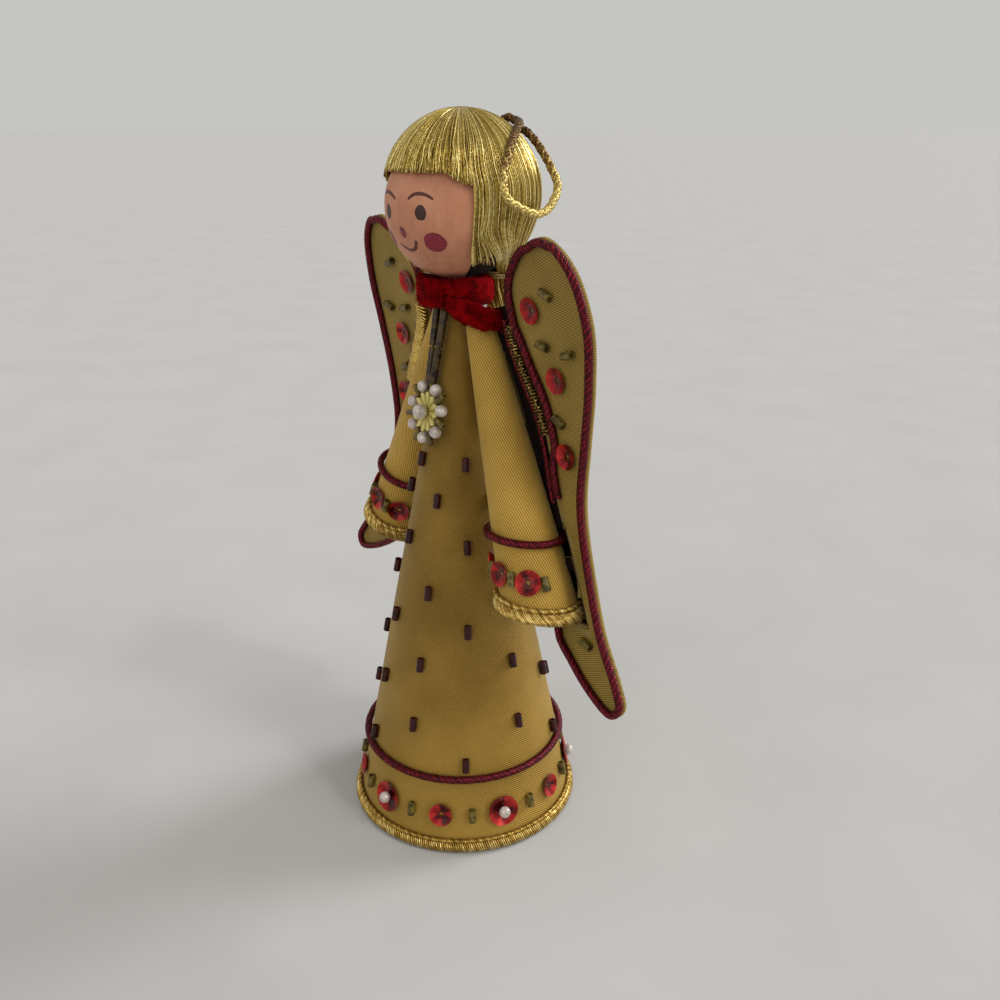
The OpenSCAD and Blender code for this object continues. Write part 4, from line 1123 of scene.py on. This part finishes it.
def under_hair():
    """The layer under the threads, painted darker than most threads as shade between them, and near-black
    painted shade where the head turns under behind the lock.
    """
    corner, gap = face_edge(BANG_Z - 3), 0.1
    lock = corner + LOCK_WIDE
    form = Form()
    for low, high, count in ((gap - corner, corner - gap, 40), (corner + gap, lock - gap, 6),
                             (gap - lock, -corner - gap, 6), (lock, 360 - lock, 80)):
        rows = []
        for azimuth in np.linspace(low, high, count):
            path = hair_path(azimuth if azimuth <= 180 else azimuth - 360, -0.5, 0.5)
            rows.append(clear_of_head(through(path, 3), 0.22))
        # Tone 0.25 paints the under layer darker than most threads, as shade in the gaps between them
        head_shell(form, rows, 0.99, 0.25)
    form.piece("hair_under_layer", "figure", HAIR, slot="hair")
    # Near-black painted shade on the ball below the lock, where it turns under
    rows = [[on_head(azimuth, -dip, 0.2)[0] for dip in np.linspace(38, 66, 14)]
            for azimuth in np.linspace(corner + 3, 128, 30)]
    head_shell(Form(), rows, 0.992).piece("hair_painted_shade", "figure", PAINTED_SHADE, slot="dark_thread")


def hair():
    """Loose threads over the head and in the tail, and the thread that ties them."""
    draw = np.random.default_rng(3)

    def ripple(along, low, high):
        return np.sin(2 * np.pi * (along * draw.uniform(low, high) + draw.uniform(0, 1)))

    form = Form()
    for count, lift in ((330, -0.3), (350, -0.1), (120, 0.08)):
        for i in range(count):
            azimuth = -180 + 360 * (i + draw.uniform(-0.45, 0.45)) / count
            path = through(hair_path(azimuth, lift + draw.uniform(-0.1, 0.12), draw.uniform(-0.35, 0.3)), 3)
            along = np.linspace(0, 1, len(path))
            wave = draw.uniform(0.1, 0.38) * ripple(along, 1.0, 2.6)
            wave += 0.08 * ripple(along, 5, 9)
            wave *= 0.1 + 0.9 * along**2
            path = clear_of_head(path + wave[:, None] * polar(azimuth + 90, 1.0), 0.3)
            form.tube(turned(path), draw.uniform(0.13, 0.2), 4, tone=draw.uniform(0.15, 1.0))
    form.piece("hair_threads", "figure", HAIR, ["hair_cap"], "hair")

    form = Form()
    for _ in range(420):
        azimuth, share = draw.uniform(0, 360), math.sqrt(draw.uniform(0.05, 1))
        end = TAIL_END + UP * draw.uniform(-1.2, 3.5)
        fall = end - TIE
        wide, deep = TIE_WIDE * share, TIE_DEEP * share
        stops = [round_up(TIE, wide, deep, azimuth, 0.5), round_up(TIE + 0.25 * fall, wide, deep, azimuth),
                 round_up(TIE + 0.62 * fall, 0.9 * wide, 1.05 * deep, azimuth + 10)]
        wide, deep = (size * share * draw.uniform(0.6, 1.6) for size in (TAIL_WIDE, TAIL_DEEP))
        path = through(stops + [round_up(end, wide, deep, azimuth + draw.uniform(0, 30))], 4)
        path += 0.12 * np.sin(np.linspace(0, draw.uniform(6, 14), len(path)))[:, None] * np.array([1, 0.4, 0])
        form.tube(turned(path), draw.uniform(0.14, 0.2), 4, tone=draw.uniform(0.15, 1.0))
    form.piece("hair_tail_threads", "figure", HAIR, ["hair_tail"], "hair")

    turn, stand_off = np.linspace(0, 2 * np.pi * 2.1, 110), 0.35
    ring = round_up(TIE, TIE_WIDE + stand_off, TIE_DEEP + stand_off, np.degrees(turn), 0.09 * turn - 0.6)
    Form().rope(turned(ring), 0.26, 2, 1.1, tones=(0.4, 0.8)).piece(
        "hair_tie_thread", "figure", THREAD, ["hair_tie"], "thread")


under_hair()
hair()


# Scarf: a plush strip round the neck with its loose end over the left shoulder

SCARF_MIDDLE = 139.388


def nap(grid, draw, count, length):
    """Short fibres that stand out from a grid of points."""
    form = Form()
    rows, cols = grid.shape[:2]
    across = np.roll(grid, -1, 1) - grid
    along = np.roll(grid, -1, 0) - grid
    for _ in range(count):
        i, j = draw.integers(1, rows - 2), draw.integers(0, cols)
        square = np.cross(across[i, j], along[i, j])
        if np.linalg.norm(square) < 1e-6:
            continue
        square = unit(square)
        root = grid[i, j] + draw.uniform(0, 1) * across[i, j] + draw.uniform(0, 1) * along[i, j]
        root = root - 0.1 * square
        lean = draw.normal(0, 0.45, 3)
        reach = length * draw.uniform(0.4, 1.2)
        path = [root, root + 0.55 * reach * unit(square + 0.5 * lean), root + reach * unit(square + lean)]
        form.tube(path, np.array([0.06, 0.05, 0.02]), 3, tone=draw.uniform(0, 1))
    return form


def strip(path, highs, thicks, rows, cols, draw, lump):
    """A soft strip on edge along a path, by its heights and thicknesses, pressed in where the head sits."""
    end_share = 0.03
    path, _ = even(through(path, 12), 0.05)
    path = path[np.linspace(0, len(path) - 1, rows).astype(int)]
    out = unit(np.cross(unit(np.gradient(path, axis=0)), UP))
    shares = np.linspace(0, 1, rows)
    high = np.interp(shares, np.linspace(0, 1, len(highs)), highs)
    thick = np.interp(shares, np.linspace(0, 1, len(thicks)), thicks)
    phase = draw.uniform(0, 6, 3)
    grid = []
    for i, share in enumerate(shares):
        from_end = min(1.0, (share + 0.001) / end_share, (1.001 - share) / end_share)
        close = math.sqrt(max(0.0, 1 - (1 - from_end) ** 2))
        row = []
        for turn in np.arange(cols) * 2 * math.pi / cols:
            c, s = math.cos(turn), math.sin(turn)
            wave = math.sin(21 * share + 2 * turn + phase[0]) + math.sin(37 * share - turn + phase[1])
            soft = 1 + lump * wave
            across = math.copysign(abs(c) ** 0.75, c) * thick[i] / 2 * (0.35 + 0.65 * close) * soft
            rise = math.copysign(abs(s) ** 0.6, s) * high[i] / 2 * (0.6 + 0.4 * close) * soft
            rise += 0.12 * math.sin(16 * share + phase[2])
            row.append(path[i] + across * out[i] + rise * UP)
        grid.append(row)
    return clear_of_head(np.array(grid), 0.06)


def plush(name, grid, draw, fibres, replaces=()):
    """A strip of plush and the nap on it."""
    body = Form().add(grid, capped_faces(*grid.shape[:2])).piece(name, "figure", FELT, replaces, "felt")
    pile = nap(grid[:, ::-1], draw, fibres, 0.75).piece(f"{name}_nap", "figure", FELT, slot="felt")


def scarf():
    """One turn round the neck under a loose front layer, and the end that goes over the left shoulder."""
    draw = np.random.default_rng(5)

    def round_neck(*stops):
        return [polar(azimuth, reach, SCARF_MIDDLE + rise) for azimuth, reach, rise in stops]

    wound = round_neck(*((azimuth, 6.6, -0.1) for azimuth in range(-30, 346, 15)))
    grid = strip(wound, (6.2, 6.4, 6.5, 6.3, 6.2), (4.2, 4.4, 4.4, 4.2), 120, 26, draw, 0.03)
    plush("scarf_plush_wrap", grid, draw, 1300, ["scarf_wrap"])
    front = round_neck((-64, 7.4, 0), (-45, 8.2, 0), (-20, 8.7, 0.1), (5, 8.8, 0), (24, 8.7, -0.2),
                       (38, 8.6, -0.4))
    grid = strip(front, (5.6, 6.4, 6.7, 6.6, 6.2, 5.6), (1.4, 1.7, 1.8, 1.6), 60, 20, draw, 0.035)
    plush("scarf_plush_front", grid, draw, 700)
    fold = round_neck((36, 8.2, 1.2), (48, 8.9, 1.4), (60, 9.2, 1.2), (72, 9.0, 0.7), (84, 8.4, 0.2))
    grid = strip(fold, (2.4, 3.6, 4.2, 4.0, 3.0), (1.2, 1.5, 1.5, 1.2), 50, 18, draw, 0.04)
    plush("scarf_plush_fold", grid, draw, 500, ())
    end = np.array([(5.2, -6.4, -1.9), (7.3, -5.7, -2.9), (10.2, -4.0, -3.9), (12.8, -1.2, -4.9),
                    (13.9, 1.8, -5.7), (13.7, 3.2, -5.9)]) + SCARF_MIDDLE * UP
    grid = strip(end, (3.2, 4.7, 5.7, 5.8, 5.2, 4.0), (1.2, 1.4, 1.4, 1.4, 1.3), 56, 18, draw, 0.04)
    plush("scarf_plush_end", grid, draw, 560,
          ["scarf_tail"])


scarf()


# Pendant and stitching

PENDANT = np.array([0, -4.46793, 134.688])
FLOWER_DROP, FLOWER_R, FLOWER_T = 24.2, 4.8, 0.9


def pendant_point(x, forward, down):
    """A point in the pendant's own frame: across, forward from the cone and down its side."""
    c, s = math.cos(SLANT), math.sin(SLANT)
    return PENDANT + np.array([x, -forward * c - down * s, forward * s - down * c])


def pendant_flower():
    """Ridged petals round a shallow middle."""
    petals, cols, rows = 12, 192, 12
    front, back, tones = [], [], []
    for share in (np.arange(rows) + 0.15) / (rows - 0.85):
        for turn in np.arange(cols) * 2 * math.pi / cols:
            ridge, notch = abs(math.cos(petals * turn / 2)), abs(math.cos(petals * turn))
            reach = FLOWER_R * share * (1 - share**3 * (0.2 * (1 - ridge) + 0.05 * (1 - notch)))
            height = 0.1 + 0.42 * share * ridge**0.7 + 0.25 * share**2 - 0.12 * share * (1 - notch)
            x, down = reach * math.sin(turn), FLOWER_DROP - reach * math.cos(turn)
            front.append(pendant_point(x, height, down))
            back.append(pendant_point(x, -FLOWER_T / 2 + 0.15 * share * ridge, down))
            # Tone is higher on the ridges and lower in the grooves: painted light and shade on the petals
            tones.append(0.15 + 0.75 * ridge * share**0.5)
    n = rows * cols
    faces = grid_faces(rows, cols, wrap_cols=True)
    faces += [tuple(n + i for i in face[::-1]) for face in faces]
    faces += [tuple(range(cols))[::-1], tuple(range(n, n + cols))]
    rim = [*range(n - cols, n)]
    faces += [(a, n + a, n + b, b) for a, b in zip(rim, rim[1:] + rim[:1])]
    Form().add(front + back, faces, tone=tones * 2).piece(
        "pendant_petals", "pendant", PETAL, ["pendant_flower"], "flower")


def stitching():
    """Dark cord round the neck and the pale thread through the shoulders."""
    Form().rope(cone_ring(NECKLACE_Z, NECKLACE_R, 90), NECKLACE_R, 2, 1.4, closed=True).piece(
        "necklace_twist", "figure", DARK_THREAD, ["necklace_cord"], "dark_thread")
    thread_r, knot_r, knot_in, knot_half = 0.5, 0.24, 0.7, 0.42
    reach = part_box("shoulder_thread")[1][0] / MM - knot_in
    ends = np.array([[x, SHOULDER[1], SHOULDER[2]] for x in (-reach, reach)])
    form = Form().rope(ends, thread_r, 3, 2.4)
    turn = np.linspace(0, 2 * np.pi, 40)[:-1]
    knot = np.stack([0.2 * np.sin(3 * turn), knot_half * np.sin(2 * turn + 0.4), knot_half * np.cos(turn)], 1)
    for end in ends:
        form.tube(end + knot, knot_r, closed=True)
    form.piece("shoulder_stitch", "figure", THREAD, ["shoulder_thread"], "thread")


pendant_flower()
stitching()


# CAD nodes that stay, with finished materials

def dress(material, *names):
    for name in names:
        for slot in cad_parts[name].material_slots:
            slot.material = material


dress(CARD, "body_card_cone", "sleeve_left_card", "sleeve_right_card")
# The wing cards take the painted shade cloth, so their cut edges beside the sleeves read as shade
dress(PAINTED_SHADE, "wing_left_card", "wing_right_card")
dress(BRIDGE_CLOTH, "wing_bridge")
dress(WOOD, "neck_peg")
dress(SKIN, "head_ball")
dress(RED_GLASS, "skirt_bugle_beads")
dress(BRONZE_GLASS, "hem_bugle_beads", "sleeve_left_bugle_beads", "sleeve_right_bugle_beads",
      "wing_left_beads", "wing_right_beads", "pendant_bugle_beads")
dress(DARK_GLASS, "necklace_strands")
dress(PEARL, "hem_pearls", "pendant_pearls", "pendant_centre_pearl")


# Light and floor

def add_light(name, way, angle, power, colour):
    """A wide, soft light from one direction."""
    data = bpy.data.lights.new(name, "SUN")
    data.angle, data.energy, data.color = math.radians(angle), power, colour
    new_object(name, data).matrix_world = Vector(way).to_track_quat("Z", "Y").to_matrix().to_4x4()


def add_stage():
    reach = 90.0
    mesh = bpy.data.meshes.new("floor")
    corners = [(-reach, -reach, 0), (reach, -reach, 0), (reach, reach, 0), (-reach, reach, 0)]
    mesh.from_pydata(corners, [], [(0, 1, 2, 3)])
    mesh.materials.append(FLOOR)
    new_object("floor", mesh)
    world = bpy.data.worlds.new("studio")
    world.use_nodes = True
    background = world.node_tree.nodes["Background"]
    background.inputs["Color"].default_value = rgb("#f8f7f3")
    background.inputs["Strength"].default_value = 0.6
    bpy.context.scene.world = world
    bpy.context.scene.view_settings.view_transform = "Standard"
    add_light("key", (0.9, 0.34, 0.55), 30, 0.8, (1.0, 0.98, 0.94))
    add_light("glint", (0.56, 0.21, 0.78), 5, 0.25, (1.0, 0.99, 0.96))
    add_light("rim", (0.2, 0.95, 0.5), 24, 2.0, (0.97, 0.98, 1.0))
    add_light("front", (0.4, -0.88, 0.5), 60, 0.6, (1.0, 0.98, 0.95))


add_stage()
